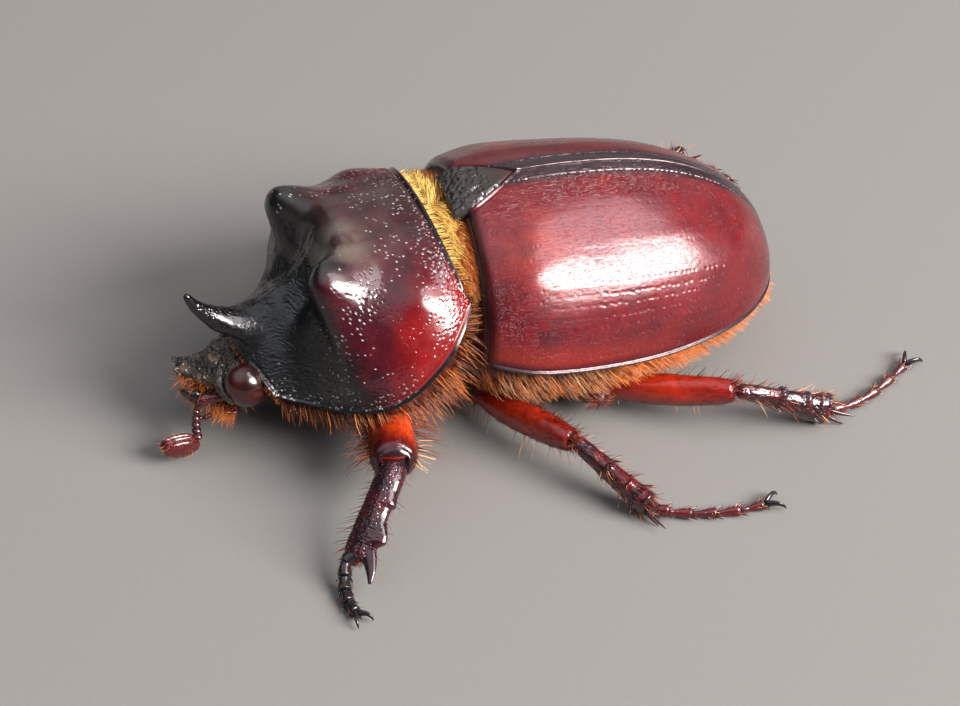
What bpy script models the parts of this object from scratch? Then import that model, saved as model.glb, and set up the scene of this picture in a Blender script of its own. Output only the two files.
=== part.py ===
"""Ox beetle (a rhinoceros beetle with a short horn), life size, standing.
+X is the beetle's left, the head faces -Y, +Z is up, the floor is z = 0.
One still animal: nothing moves."""
import bpy
import bmesh
import math
import numpy as np

# ---------------------------------------------------------------- dimensions
BODY_LENGTH = 40.0            # mm, clypeus front to wing-case tip
UNITS_LONG = 45.3             # the same length in design units
U = BODY_LENGTH / UNITS_LONG / 1000.0   # metres in one design unit
BODY_PITCH = math.radians(6.06)   # body axis, head up
FLOOR = -8.0                  # floor level below the wing-case base, units

# wing cases (body frame: +X beetle's left, +Y towards the tail, +Z up)
ELYTRA_LENGTH = 25.0
ELYTRA_HALF_WIDTH = 10.94
ELYTRA_HEIGHT = 10.27
BASE_WIDTH_RATIO = 0.874
BASE_HEIGHT_RATIO = 0.86
SHOULDER_AT = 0.18
TOP_AT = 0.389
TAIL_WIDTH_POWER = 2.24
TAIL_HEIGHT_POWER = 2.03
SECTION_POWER = 1.822
MARGIN_RISE_FRONT = 0.828
MARGIN_RISE_TAIL = 0.172
SHELL = 0.95                  # wing-case wall
SEAM = 0.06                   # half the gap along the suture
SCUTELLUM_HALF_WIDTH = 2.45
SCUTELLUM_FRONT = -0.35
SCUTELLUM_APEX = 4.35

# prothorax frame: its own axes in the levelled frame, turned to the left and nose down
PRO_YAW = math.radians(4.0)
PRO_PITCH = math.radians(22.0)
PRO_ORIGIN = (0.0, -1.62, 5.6)
MARGIN_T = [0.0, 0.07, 0.15, 0.25, 0.35, 0.45, 0.55, 0.63, 0.71, 0.79, 0.87, 1.0]
MARGIN_X = [7.75, 9.0, 9.9, 10.45, 10.65, 10.5, 9.95, 9.1, 8.0, 6.75, 5.75, 4.75]
MARGIN_Y = [0.35, -0.85, -2.25, -3.95, -5.65, -7.3, -8.9, -10.1, -11.25, -12.35, -13.4, -14.8]
MARGIN_Z = [-1.0, -1.3, -1.75, -2.25, -2.72, -3.0, -3.1, -3.1, -3.15, -3.15, -2.85, -1.75]
CREST_Y = [1.0, -0.4, -2.0, -3.7, -5.2, -6.7, -8.2, -9.5, -10.8, -12.2, -13.6, -15.55]
CREST_Z = [3.1, 3.6, 4.35, 5.1, 5.65, 5.5, 4.65, 3.65, 2.95, 2.55, 2.1, 0.55]
SECTION_T = [0.0, 0.15, 0.45, 0.55, 0.63, 0.71, 0.79, 0.87, 1.0]
SECTION_N = [1.8, 1.68, 1.65, 1.6, 1.5, 1.32, 1.22, 1.3, 1.6]
TUBERCLE = (4.4, -7.6, 2.1)       # x, y, height
TUBERCLE_WIDTH = (1.5, 2.1)       # towards the middle, towards the side
FOVEA = (-8.1, -1.3)                # y, depth


def interp(x, xs, ys):
    """Smooth curve through the knots (monotone tangents)."""
    xs = np.asarray(xs, float)
    ys = np.asarray(ys, float)
    x = np.clip(np.asarray(x, float), xs[0], xs[-1])
    h = np.diff(xs)
    s = np.diff(ys) / h
    m = np.zeros_like(ys)
    m[0], m[-1] = s[0], s[-1]
    w1 = 2 * h[1:] + h[:-1]
    w2 = h[1:] + 2 * h[:-1]
    same = s[:-1] * s[1:] > 0
    with np.errstate(divide="ignore", invalid="ignore"):
        hm = (w1 + w2) / (w1 / s[:-1] + w2 / s[1:])
    m[1:-1] = np.where(same, hm, 0.0)
    k = np.clip(np.searchsorted(xs, x, side="right") - 1, 0, len(h) - 1)
    t = (x - xs[k]) / h[k]
    return ((2 * t ** 3 - 3 * t ** 2 + 1) * ys[k] + (t ** 3 - 2 * t ** 2 + t) * h[k] * m[k]
            + (-2 * t ** 3 + 3 * t ** 2) * ys[k + 1] + (t ** 3 - t ** 2) * h[k] * m[k + 1])


def body_to_world(p):
    """Body frame (units) to the levelled frame (units), floor still at FLOOR."""
    p = np.asarray(p, float)
    c, s = math.cos(BODY_PITCH), math.sin(BODY_PITCH)
    return np.stack([p[..., 0], p[..., 1] * c + p[..., 2] * s, -p[..., 1] * s + p[..., 2] * c], -1)


def pro_world(p):
    """Prothorax frame to the levelled frame."""
    p = np.asarray(p, float)
    cp, sp = math.cos(PRO_PITCH), math.sin(PRO_PITCH)
    cy, sy = math.cos(PRO_YAW), math.sin(PRO_YAW)
    y = p[..., 1] * cp - p[..., 2] * sp
    z = p[..., 1] * sp + p[..., 2] * cp
    x = p[..., 0]
    return np.stack([x * cy - y * sy + PRO_ORIGIN[0], x * sy + y * cy + PRO_ORIGIN[1], z + PRO_ORIGIN[2]], -1)


# ---------------------------------------------------------------- wing cases
def elytra_profile(s):
    """Half-width, height over the margin and margin level at the station s."""
    s = np.asarray(s, float)
    a = np.clip((SHOULDER_AT - s) / SHOULDER_AT, 0, 1)
    b = np.clip((s - SHOULDER_AT) / (1 - SHOULDER_AT), 0, 1)
    f = np.where(s < SHOULDER_AT, 1 - (1 - BASE_WIDTH_RATIO) * a ** 2,
                 (1 - b ** TAIL_WIDTH_POWER) ** (1 / TAIL_WIDTH_POWER))
    a = np.clip((TOP_AT - s) / TOP_AT, 0, 1)
    b = np.clip((s - TOP_AT) / (1 - TOP_AT), 0, 1)
    g = np.where(s < TOP_AT, 1 - (1 - BASE_HEIGHT_RATIO) * a ** 2,
                 (1 - b ** TAIL_HEIGHT_POWER) ** (1 / TAIL_HEIGHT_POWER))
    m = np.where(s < 0.5, MARGIN_RISE_FRONT * (1 - 2 * s) ** 2, MARGIN_RISE_TAIL * (2 * s - 1) ** 2)
    return f, g, m


def elytra_point(s, th, inset=0.0, inner_x=None):
    """Point on the wing cases (left side): s along, th from the margin to the top.
    inner_x limits how far towards the middle th = pi/2 reaches."""
    f, g, m = elytra_profile(s)
    w = (ELYTRA_HALF_WIDTH - inset) * f
    h = (ELYTRA_HEIGHT - inset) * g
    e = 2.0 / SECTION_POWER
    if inner_x is not None:
        c = np.clip(inner_x / np.maximum(w, 1e-6), 0, 0.98)
        top = np.arccos(c ** (1 / e))
        th = th / (math.pi / 2) * top
    x = w * np.clip(np.cos(th), 0, 1) ** e
    z = m + h * np.clip(np.sin(th), 0, 1) ** e
    y = s * (ELYTRA_LENGTH - inset) + 0 * x
    return np.stack([x, y, z], -1)


def elytra_top(x, y, inset=0.0):
    """Height of the wing-case surface over the point x, y."""
    s = np.clip(y / (ELYTRA_LENGTH - inset), 0, 1)
    f, g, m = elytra_profile(s)
    w = (ELYTRA_HALF_WIDTH - inset) * f
    h = (ELYTRA_HEIGHT - inset) * g
    r = np.clip(np.abs(x) / np.maximum(w, 1e-6), 0, 1)
    return m + h * (1 - r ** SECTION_POWER) ** (1 / SECTION_POWER)


def scutellum_half(y):
    """Half-width of the notch for the scutellum at y."""
    t = np.clip((y - 0.4) / (SCUTELLUM_APEX - 0.4), 0, 1)
    return SCUTELLUM_HALF_WIDTH * (1 - t ** 1.25)


# ---------------------------------------------------------------- prothorax
def pronotum_base(t, th):
    """Smooth shell of the prothorax before its relief: t from hind to front,
    th from the left margin (0) over the top (pi/2) to the right margin (pi)."""
    mx, my, mz = (interp(t, MARGIN_T, k) for k in (MARGIN_X, MARGIN_Y, MARGIN_Z))
    cy, cz = interp(t, MARGIN_T, CREST_Y), interp(t, MARGIN_T, CREST_Z)
    e = 2.0 / interp(t, SECTION_T, SECTION_N)
    c, s = np.cos(th), np.clip(np.sin(th), 0, 1)
    x = mx * np.sign(c) * np.abs(c) ** e
    z = mz + (cz - mz) * s ** e
    y = my + (cy - my) * s ** 1.5
    return np.stack([x, y, z], -1)


def relief(p):
    """Rise of the two tubercles and depth of the hollow between them."""
    x, y = np.abs(p[..., 0]), p[..., 1]
    tx, ty, th = TUBERCLE
    dy = y - ty
    along = np.where(dy > 0, np.exp(-(dy / 2.0) ** 2), np.exp(-(np.abs(dy) / 1.25) ** 4))
    wide = np.where(x < tx, TUBERCLE_WIDTH[0], TUBERCLE_WIDTH[1])
    bump = th * along * np.exp(-np.abs((x - tx) / wide) ** 2.2 * 0.7)
    fy, fd = FOVEA
    dy = y - fy
    hollow = fd * np.exp(-(x / 2.3) ** 2 / 1.6) * np.where(
        dy > 0, np.exp(-(dy / 1.35) ** 2 / 1.4), np.exp(-(dy / 2.2) ** 2 / 1.6))
    return bump + hollow


HORN_Z = [0.3, 1.2, 2.4, 3.3, 4.2, 5.2, 6.0, 6.35]
HORN_Y = [-13.5, -14.1, -14.92, -15.52, -16.0, -16.32, -16.4, -16.42]
HORN_RY = [1.6, 1.5, 1.28, 0.93, 0.65, 0.43, 0.27, 0.0]
HORN_RX = [2.1, 1.75, 1.3, 0.9, 0.62, 0.42, 0.26, 0.0]


def horn_ring(z, sides, grow=0.0):
    """Ring of the horn at the height z (prothorax frame)."""
    a = np.linspace(0, 2 * math.pi, sides, endpoint=False)
    y, ry, rx = (float(interp(z, HORN_Z, k)) for k in (HORN_Y, HORN_RY, HORN_RX))
    if z > 6.0:
        ry = rx = 0.27 * math.sqrt(max(0.0, 1 - ((z - 6.0) / 0.35) ** 2)) + 0.004
    return np.stack([(rx + grow) * np.cos(a), y + (ry + grow) * np.sin(a), z + 0 * a], -1)


# ---------------------------------------------------------------- body core
def belly_depth(s):
    return interp(s, [0, 0.12, 0.3, 0.5, 0.7, 0.85, 0.95, 1.0], [4.9, 5.5, 5.75, 5.4, 4.4, 3.1, 1.9, 0.6])


def core_ring(s, n_top, n_low, inset=1.08, low_inset=0.35):
    """Closed ring of the body under the wing cases at station s."""
    f, g, m = elytra_profile(s)
    w = (ELYTRA_HALF_WIDTH - inset) * f
    h = (ELYTRA_HEIGHT - inset) * g
    e = 2.0 / SECTION_POWER
    a = np.linspace(0, math.pi, n_top)
    top = np.stack([w * np.sign(np.cos(a)) * np.abs(np.cos(a)) ** e,
                    m + h * np.clip(np.sin(a), 0, 1) ** e], -1)
    d = belly_depth(s)
    b = np.linspace(math.pi, 2 * math.pi, n_low)[1:-1]
    e2 = 2.0 / 2.25
    low = np.stack([w * np.sign(np.cos(b)) * np.abs(np.cos(b)) ** e2,
                    m - d * np.abs(np.sin(b)) ** e2], -1)
    r = np.concatenate([top, low])
    y = np.full(len(r), s * (ELYTRA_LENGTH - inset))
    return np.stack([r[:, 0], y, r[:, 1]], -1)
# ---------------------------------------------------------------- head (own frame)
HEAD_ORIGIN = (0.0, -15.75, -1.75)   # in the prothorax frame
HEAD_YAW = math.radians(-8.0)
HEAD_ROLL = math.radians(15.0)
HEAD_Y = [1.9, 1.5, 0.7, -0.1, -1.0, -1.8, -2.6, -3.3, -3.9, -4.3]
HEAD_W = [1.7, 2.6, 3.15, 3.3, 3.1, 2.65, 2.1, 1.6, 1.2, 0.92]
HEAD_TOP = [0.3, 0.9, 1.2, 1.35, 1.4, 1.4, 1.45, 1.6, 1.82, 2.0]
HEAD_LOW = [-1.2, -2.0, -2.6, -2.85, -2.7, -2.3, -1.6, -0.5, 0.6, 1.35]
EYE = (3.25, 0.0, -0.15)
EYE_R = (1.35, 1.5, 1.65)


def head_to_pro(p):
    """Head frame to the prothorax frame (turned and rolled)."""
    p = np.asarray(p, float)
    cr, sr = math.cos(HEAD_ROLL), math.sin(HEAD_ROLL)
    cy, sy = math.cos(HEAD_YAW), math.sin(HEAD_YAW)
    x = p[..., 0] * cr - p[..., 2] * sr
    z = p[..., 0] * sr + p[..., 2] * cr
    y = p[..., 1]
    return np.stack([x * cy - y * sy + HEAD_ORIGIN[0], x * sy + y * cy + HEAD_ORIGIN[1], z + HEAD_ORIGIN[2]], -1)


def head_world(p):
    return pro_world(head_to_pro(p))


def head_ring(y, n, grow=0.0):
    """Ring of the head at y (head frame)."""
    ys = HEAD_Y[::-1]
    w = interp(y, ys, HEAD_W[::-1]) + grow
    t = interp(y, ys, HEAD_TOP[::-1]) + grow
    b = interp(y, ys, HEAD_LOW[::-1]) - grow
    a = np.linspace(0, 2 * math.pi, n, endpoint=False)
    mid = t - (t - b) * 0.42
    e = 2.0 / 2.5
    x = w * np.sign(np.cos(a)) * np.abs(np.cos(a)) ** e
    z = np.where(np.sin(a) > 0, mid + (t - mid) * np.abs(np.sin(a)) ** e, mid - (mid - b) * np.abs(np.sin(a)) ** (2.0 / 2.1))
    return np.stack([x, np.full(n, float(y)), z], -1)


# ---------------------------------------------------------------- legs (levelled frame)
# Left leg points; each femur and tibia lists x, y, z of its axis.
# knee balls sit in sockets cut from the femur; half-thicknesses are (broad, thin).
LEGS = {
    "front_left": dict(
        coxa=((4.1, -5.9, -4.9), (2.6, 1.75, 1.5)),
        femur=[(5.6, -6.15, -4.95), (7.7, -6.55, -4.5), (10.2, -7.1, -3.85), (12.5, -7.6, -3.2), (13.85, -7.9, -2.85)],
        femur_r=[(1.05, 0.95), (1.45, 1.15), (1.7, 1.3), (1.55, 1.2), (1.15, 1.0)],
        tibia=[(14.1, -7.95, -2.75), (15.2, -8.85, -3.3), (16.5, -10.05, -4.15), (17.7, -11.15, -5.15), (18.7, -12.1, -6.1)],
        tibia_r=[(0.62, 0.6), (0.8, 0.6), (0.95, 0.58), (1.15, 0.5), (1.05, 0.4)],
        tarsus=[(18.35, -12.65, -6.4), (19.1, -13.05, -7.0), (20.1, -13.3, -7.5), (21.2, -13.3, -7.62), (22.1, -13.05, -7.62)],
        claws=(1.0, 0.35)),
    "mid_left": dict(
        coxa=((4.2, 1.5, -5.5), (2.5, 1.5, 1.25)),
        femur=[(5.6, 1.2, -5.7), (7.9, 2.2, -5.45), (10.2, 3.45, -5.1), (12.4, 4.75, -4.8), (13.6, 5.45, -4.65)],
        femur_r=[(0.95, 0.85), (1.2, 1.0), (1.25, 1.0), (1.05, 0.9), (0.75, 0.7)],
        tibia=[(13.85, 5.6, -4.6), (15.3, 6.6, -5.25), (16.8, 7.6, -5.95), (18.2, 8.55, -6.55), (19.1, 9.15, -6.9)],
        tibia_r=[(0.5, 0.48), (0.62, 0.55), (0.75, 0.62), (0.9, 0.7), (1.05, 0.8)],
        tarsus=[(19.4, 9.65, -7.1), (19.95, 11.5, -7.5), (20.5, 13.7, -7.62), (20.75, 15.8, -7.62), (20.7, 17.2, -7.62)],
        claws=(-0.05, 1.0)),
    "hind_left": dict(
        coxa=((5.2, 9.0, -5.65), (4.0, 1.5, 1.2)),
        femur=[(6.9, 9.8, -5.8), (8.6, 11.9, -5.45), (10.3, 14.4, -4.95), (11.7, 16.8, -4.5), (12.5, 18.25, -4.25)],
        femur_r=[(0.95, 0.85), (1.2, 0.95), (1.25, 0.95), (1.1, 0.85), (0.75, 0.7)],
        tibia=[(12.6, 18.5, -4.2), (12.95, 20.2, -4.85), (13.3, 21.9, -5.55), (13.6, 23.8, -6.35), (13.7, 24.9, -6.75)],
        tibia_r=[(0.5, 0.48), (0.65, 0.55), (0.8, 0.65), (0.95, 0.75), (1.12, 0.85)],
        tarsus=[(13.65, 25.45, -7.0), (13.0, 27.5, -7.5), (12.1, 29.6, -7.62), (10.9, 31.6, -7.62), (10.1, 32.8, -7.62)],
        claws=(-0.55, 0.9)),
    "front_right": dict(
        coxa=((-4.1, -5.9, -4.9), (2.6, 1.75, 1.5)),
        femur=[(-5.6, -6.0, -4.95), (-7.6, -6.0, -4.6), (-9.9, -6.05, -4.15), (-11.8, -6.15, -3.65), (-13.0, -6.25, -3.35)],
        femur_r=[(1.05, 0.95), (1.45, 1.15), (1.7, 1.3), (1.55, 1.2), (1.15, 1.0)],
        tibia=[(-13.2, -6.25, -3.25), (-14.3, -6.4, -4.0), (-15.4, -6.6, -4.9), (-16.4, -6.8, -5.8), (-17.1, -6.95, -6.5)],
        tibia_r=[(0.62, 0.6), (0.8, 0.6), (0.95, 0.58), (1.15, 0.5), (1.05, 0.4)],
        tarsus=[(-16.7, -7.6, -6.7), (-15.9, -8.4, -7.3), (-14.9, -8.9, -7.6), (-13.7, -9.2, -7.62), (-12.7, -9.3, -7.62)],
        claws=(1.0, -0.1)),
    "mid_right": dict(
        coxa=((-4.2, 1.5, -5.5), (2.5, 1.5, 1.25)),
        femur=[(-5.6, 1.1, -5.7), (-8.0, 1.8, -5.45), (-10.4, 2.55, -5.15), (-12.6, 3.2, -4.85), (-13.9, 3.55, -4.7)],
        femur_r=[(0.95, 0.85), (1.2, 1.0), (1.25, 1.0), (1.05, 0.9), (0.75, 0.7)],
        tibia=[(-14.15, 3.65, -4.65), (-15.6, 4.4, -5.3), (-17.0, 5.2, -6.0), (-18.3, 6.1, -6.6), (-19.1, 6.7, -6.95)],
        tibia_r=[(0.5, 0.48), (0.62, 0.55), (0.75, 0.62), (0.9, 0.7), (1.05, 0.8)],
        tarsus=[(-19.3, 7.25, -7.15), (-19.6, 9.1, -7.55), (-19.9, 11.2, -7.62), (-19.9, 13.3, -7.62), (-19.6, 14.8, -7.62)],
        claws=(0.2, 1.0)),
    "hind_right": dict(
        coxa=((-5.2, 9.0, -5.65), (4.0, 1.5, 1.2)),
        femur=[(-6.9, 9.9, -5.8), (-9.0, 12.4, -5.5), (-11.2, 15.2, -5.15), (-13.1, 17.8, -4.8), (-14.2, 19.3, -4.65)],
        femur_r=[(0.95, 0.85), (1.2, 0.95), (1.25, 0.95), (1.1, 0.85), (0.75, 0.7)],
        tibia=[(-14.35, 19.55, -4.6), (-15.2, 21.1, -5.2), (-16.1, 22.8, -5.85), (-17.0, 24.5, -6.5), (-17.5, 25.5, -6.85)],
        tibia_r=[(0.5, 0.48), (0.65, 0.55), (0.8, 0.65), (0.95, 0.75), (1.12, 0.85)],
        tarsus=[(-17.4, 26.1, -7.05), (-16.4, 27.7, -7.5), (-14.6, 28.6, -7.62), (-12.7, 28.5, -7.62), (-11.5, 27.9, -7.62)],
        claws=(0.9, -0.45)),
}


def smooth_path(pts, n):
    """n points along a smooth curve through pts, evenly spaced; also the 0-1 parameter of each."""
    pts = np.asarray(pts, float)
    d = np.concatenate([[0], np.cumsum(np.linalg.norm(np.diff(pts, axis=0), axis=1))])
    t = d / d[-1]
    k = np.linspace(0, 1, n)
    out = np.stack([catmull(k, t, pts[:, i]) for i in range(3)], -1)
    return out, k, t


def catmull(k, t, v):
    """Cubic through knots with centred tangents."""
    m = np.empty(len(v))
    m[1:-1] = (v[2:] - v[:-2]) / (t[2:] - t[:-2])
    m[0] = (v[1] - v[0]) / (t[1] - t[0])
    m[-1] = (v[-1] - v[-2]) / (t[-1] - t[-2])
    i = np.clip(np.searchsorted(t, k, side="right") - 1, 0, len(t) - 2)
    h = t[i + 1] - t[i]
    u = (k - t[i]) / h
    return ((2 * u ** 3 - 3 * u ** 2 + 1) * v[i] + (u ** 3 - 2 * u ** 2 + u) * h * m[i]
            + (-2 * u ** 3 + 3 * u ** 2) * v[i + 1] + (u ** 3 - u ** 2) * h * m[i + 1])


def frames(path, broad):
    """Tangent, broad and thin directions along a path; broad is the wanted wide direction."""
    tan = np.gradient(path, axis=0)
    tan /= np.linalg.norm(tan, axis=1)[:, None]
    b = np.asarray(broad, float)[None] - (tan @ np.asarray(broad, float))[:, None] * tan
    b /= np.linalg.norm(b, axis=1)[:, None]
    n = np.cross(tan, b)
    return tan, b, n


def limb(pts, radii, broad, rings, sides, cap_a=1.0, cap_b=1.0, shape=None):
    """Rounded limb: rings of points along the path. cap_a and cap_b are how long
    the rounded ends are, in radii. shape(k) may return extra (plus, minus) reach
    on the two broad sides."""
    path, k, t = smooth_path(pts, 240)
    tan, b, n = frames(path, broad)
    length = np.sum(np.linalg.norm(np.diff(path, axis=0), axis=1))
    ra = catmull(k, t, np.array([r[0] for r in radii], float))
    rb = catmull(k, t, np.array([r[1] for r in radii], float))
    la, lb = cap_a * ra[0] / length, cap_b * ra[-1] / length
    u = np.linspace(0, 1, rings)
    ks = np.interp(u, [0, 0.18, 0.82, 1], [0, la, 1 - lb, 1]) if rings > 8 else u
    m = max(3, rings // 5)
    ks = np.concatenate([la * (1 - np.cos(np.linspace(0, math.pi / 2, m + 1)))[:-1],
                         np.linspace(la, 1 - lb, rings - 2 * m),
                         1 - lb * (1 - np.cos(np.linspace(math.pi / 2, 0, m + 1)))[1:]])
    out = []
    ang = np.linspace(0, 2 * math.pi, sides, endpoint=False)
    for q in ks:
        i = min(int(round(q * 239)), 239)
        p = np.array([np.interp(q, k, path[:, j]) for j in range(3)])
        f = 1.0
        if q < la:
            f = math.sqrt(max(0.0, 1 - (1 - q / la) ** 2))
        if q > 1 - lb:
            f = math.sqrt(max(0.0, 1 - (1 - (1 - q) / lb) ** 2))
        a, c = np.interp(q, k, ra) * f, np.interp(q, k, rb) * f
        plus, minus = (shape(q) if shape else (0.0, 0.0))
        ca = np.cos(ang)
        reach = np.where(ca > 0, a + plus * f, a + minus * f) * ca
        out.append(p + reach[:, None] * b[i] + (c * np.sin(ang))[:, None] * n[i])
    return np.array(out)
# ---------------------------------------------------------------- builders
for old in list(bpy.data.objects):
    bpy.data.objects.remove(old, do_unlink=True)

COLOURS = {
    "horn_black": (0.012, 0.008, 0.009, 1), "shell_wine": (0.11, 0.012, 0.014, 1),
    "shell_red": (0.22, 0.014, 0.012, 1), "body_dark": (0.06, 0.018, 0.012, 1),
    "leg_red": (0.25, 0.02, 0.012, 1), "leg_dark": (0.05, 0.012, 0.012, 1),
    "eye_brown": (0.06, 0.015, 0.01, 1), "hair_gold": (0.6, 0.25, 0.04, 1),
}
MATERIALS = {}
for key, rgba in COLOURS.items():
    mat = bpy.data.materials.new(key)
    mat.use_nodes = True
    bsdf = mat.node_tree.nodes["Principled BSDF"]
    bsdf.inputs["Base Color"].default_value = rgba
    bsdf.inputs["Roughness"].default_value = 0.25
    MATERIALS[key] = mat


def add(name, verts, faces, material, merge=1e-4, cutter=False):
    """New object from points in the levelled frame (units)."""
    me = bpy.data.meshes.new(name)
    me.from_pydata([tuple(map(float, v)) for v in np.asarray(verts).reshape(-1, 3)], [], [tuple(map(int, f)) for f in faces])
    bm = bmesh.new()
    bm.from_mesh(me)
    bmesh.ops.remove_doubles(bm, verts=bm.verts, dist=merge)
    bmesh.ops.dissolve_degenerate(bm, edges=bm.edges, dist=merge)
    bmesh.ops.recalc_face_normals(bm, faces=bm.faces)
    bmesh.ops.triangulate(bm, faces=[f for f in bm.faces if len(f.verts) > 4])
    bm.to_mesh(me)
    bm.free()
    me.materials.append(MATERIALS[material])
    ob = bpy.data.objects.new(name, me)
    bpy.context.scene.collection.objects.link(ob)
    if cutter:
        ob.hide_render = True
        ob.display_type = "WIRE"
    return ob


def grid_faces(ni, nj, off=0, wrap=False):
    out = []
    for i in range(ni - 1):
        for j in range(nj if wrap else nj - 1):
            k = (j + 1) % nj
            out.append((off + i * nj + j, off + i * nj + k, off + (i + 1) * nj + k, off + (i + 1) * nj + j))
    return out


def slab(P, Q):
    """Closed solid between two grids of the same size."""
    ni, nj = P.shape[:2]
    v = np.concatenate([P.reshape(-1, 3), Q.reshape(-1, 3)])
    o = ni * nj
    f = grid_faces(ni, nj) + [tuple(reversed(q)) for q in grid_faces(ni, nj, o)]
    for i in range(ni - 1):
        for j, s in ((0, 1), (nj - 1, -1)):
            a, b = i * nj + j, (i + 1) * nj + j
            f.append((a, b, b + o, a + o)[::s])
    for j in range(nj - 1):
        for i, s in ((0, -1), (ni - 1, 1)):
            a, b = i * nj + j, i * nj + j + 1
            f.append((a, b, b + o, a + o)[::s])
    return v, f


def tube(rings):
    """Closed solid from rings, its ends closed by fans."""
    rings = np.asarray(rings, float)
    n, m = rings.shape[:2]
    v = np.concatenate([rings.reshape(-1, 3), rings[0].mean(0)[None], rings[-1].mean(0)[None]])
    f = grid_faces(n, m, wrap=True)
    for j in range(m):
        k = (j + 1) % m
        f.append((k, j, n * m))
        f.append(((n - 1) * m + j, (n - 1) * m + k, n * m + 1))
    return v, f


def ball(centre, radii, nu=16, nv=9):
    a = np.linspace(0, math.pi, nv)
    b = np.linspace(0, 2 * math.pi, nu, endpoint=False)
    r = np.array([[[radii[0] * math.sin(p) * math.cos(q), radii[1] * math.sin(p) * math.sin(q), radii[2] * math.cos(p)]
                   for q in b] for p in a]) + np.asarray(centre, float)
    return tube(r)


def cut(ob, cutter):
    m = ob.modifiers.new("cut", "BOOLEAN")
    m.operation = "DIFFERENCE"
    m.solver = "EXACT"
    m.object = cutter
    return m


# ---------------------------------------------------------------- wing cases
def elytron(side):
    ns, nt = 14, 8
    s = np.array([0, 0.06, 0.13, 0.18, 0.27, 0.38, 0.49, 0.6, 0.7, 0.79, 0.87, 0.94, 0.98, 1.0])
    th = np.linspace(0, math.pi / 2, nt)
    S, T = np.meshgrid(s, th, indexing="ij")
    y = S * ELYTRA_LENGTH
    inner = np.maximum(SEAM, scutellum_half(y))
    inner = np.where(y > SCUTELLUM_APEX, SEAM, inner + SEAM)
    P = elytra_point(S, T, 0.0, inner)
    Q = elytra_point(S, T, SHELL, inner)
    P, Q = body_to_world(P), body_to_world(Q)
    if side < 0:
        P[..., 0] *= -1
        Q[..., 0] *= -1
    return slab(P, Q)


add("elytron_left", *elytron(1), "shell_red")
add("elytron_right", *elytron(-1), "shell_red")

# scutellum: small triangular plate let in between the wing-case bases
ys = np.linspace(SCUTELLUM_FRONT, SCUTELLUM_APEX - 0.35, 6)
P = []
for y in ys:
    hw = max(scutellum_half(y) - 0.06, 0.12)
    xs = np.linspace(hw, -hw, 6)
    P.append([(x, y, elytra_top(x, max(y, 0.0)) - 0.25 * (y < 0) * abs(y) - 0.02) for x in xs])
P = np.array(P)
Q = P.copy()
Q[..., 2] -= 1.1
add("scutellum", *slab(body_to_world(P), body_to_world(Q)), "horn_black")

# ---------------------------------------------------------------- body core
def core(s0, s1, n):
    return [core_ring(s, 11, 9) for s in np.linspace(s0, s1, n)]


SPLIT = 0.395                 # station between thorax and abdomen
thorax = add("thorax_underside", *tube(body_to_world(core(0.004, SPLIT, 5))), "body_dark")
abdomen = add("abdomen", *tube(body_to_world(core(SPLIT + 0.006, 0.93, 7))), "body_dark")

# room under the scutellum plate
room = []
for y in (-1.0, 0.0, 1.2, 2.6, SCUTELLUM_APEX + 0.3):
    hw = SCUTELLUM_HALF_WIDTH + 0.3
    zc = elytra_top(0.0, max(y, 0.0))
    room.append([(hw, y, zc - 1.75), (hw, y, zc + 2), (-hw, y, zc + 2), (-hw, y, zc - 1.75)])
room_cut = add("room_cutter", *tube(body_to_world(np.array(room))), "body_dark", cutter=True)
cut(thorax, room_cut)

# last plate of the back, closing the body behind
rings = []
for s in (0.936, 0.95, 0.965, 0.978, 0.99):
    f, g, m = elytra_profile(s)
    w = (ELYTRA_HALF_WIDTH - 1.08) * f
    d = belly_depth(0.93) * (1 - ((s - 0.93) / 0.066) ** 2) ** 0.5 + 0.05
    a = np.linspace(0, math.pi, 9)
    low = np.stack([w * np.cos(a), 0 * a + s * (ELYTRA_LENGTH - 0.75), m - 0.12 - d * np.sin(a)], -1)
    rings.append(low)
add("pygidium", *tube(body_to_world(np.array(rings))), "body_dark")

# ---------------------------------------------------------------- prothorax
NTH = 25
t = np.array([0, 0.11, 0.22, 0.32, 0.395, 0.44, 0.475, 0.51, 0.54, 0.575, 0.63, 0.7, 0.79, 0.89, 1.0])
th = np.linspace(0, math.pi, NTH)
T, TH = np.meshgrid(t, th, indexing="ij")
P = pronotum_base(T, TH)
P[..., 2] += relief(P)
rings = []
for i in range(len(t)):       # the floor of the plate runs straight between its margins
    f = np.array([0.3, 0.7])[:, None]
    rings.append(np.concatenate([P[i], P[i, -1] * (1 - f) + P[i, 0] * f]))
pronotum = add("pronotum", *tube(pro_world(np.array(rings))), "shell_wine")

horn_z = [0.3, 1.3, 2.3, 3.3, 4.2, 5.1, 6.0, 6.2, 6.32]
horn = add("horn", *tube(pro_world(np.array([horn_ring(z, 12) for z in horn_z]))), "horn_black")
cut(pronotum, add("horn_cutter", *tube(pro_world(np.array([horn_ring(z, 12, 0.05) - np.array([0, 0, 0.06 * (z < 1)])
                                                           for z in horn_z]))), "body_dark", cutter=True))

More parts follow.
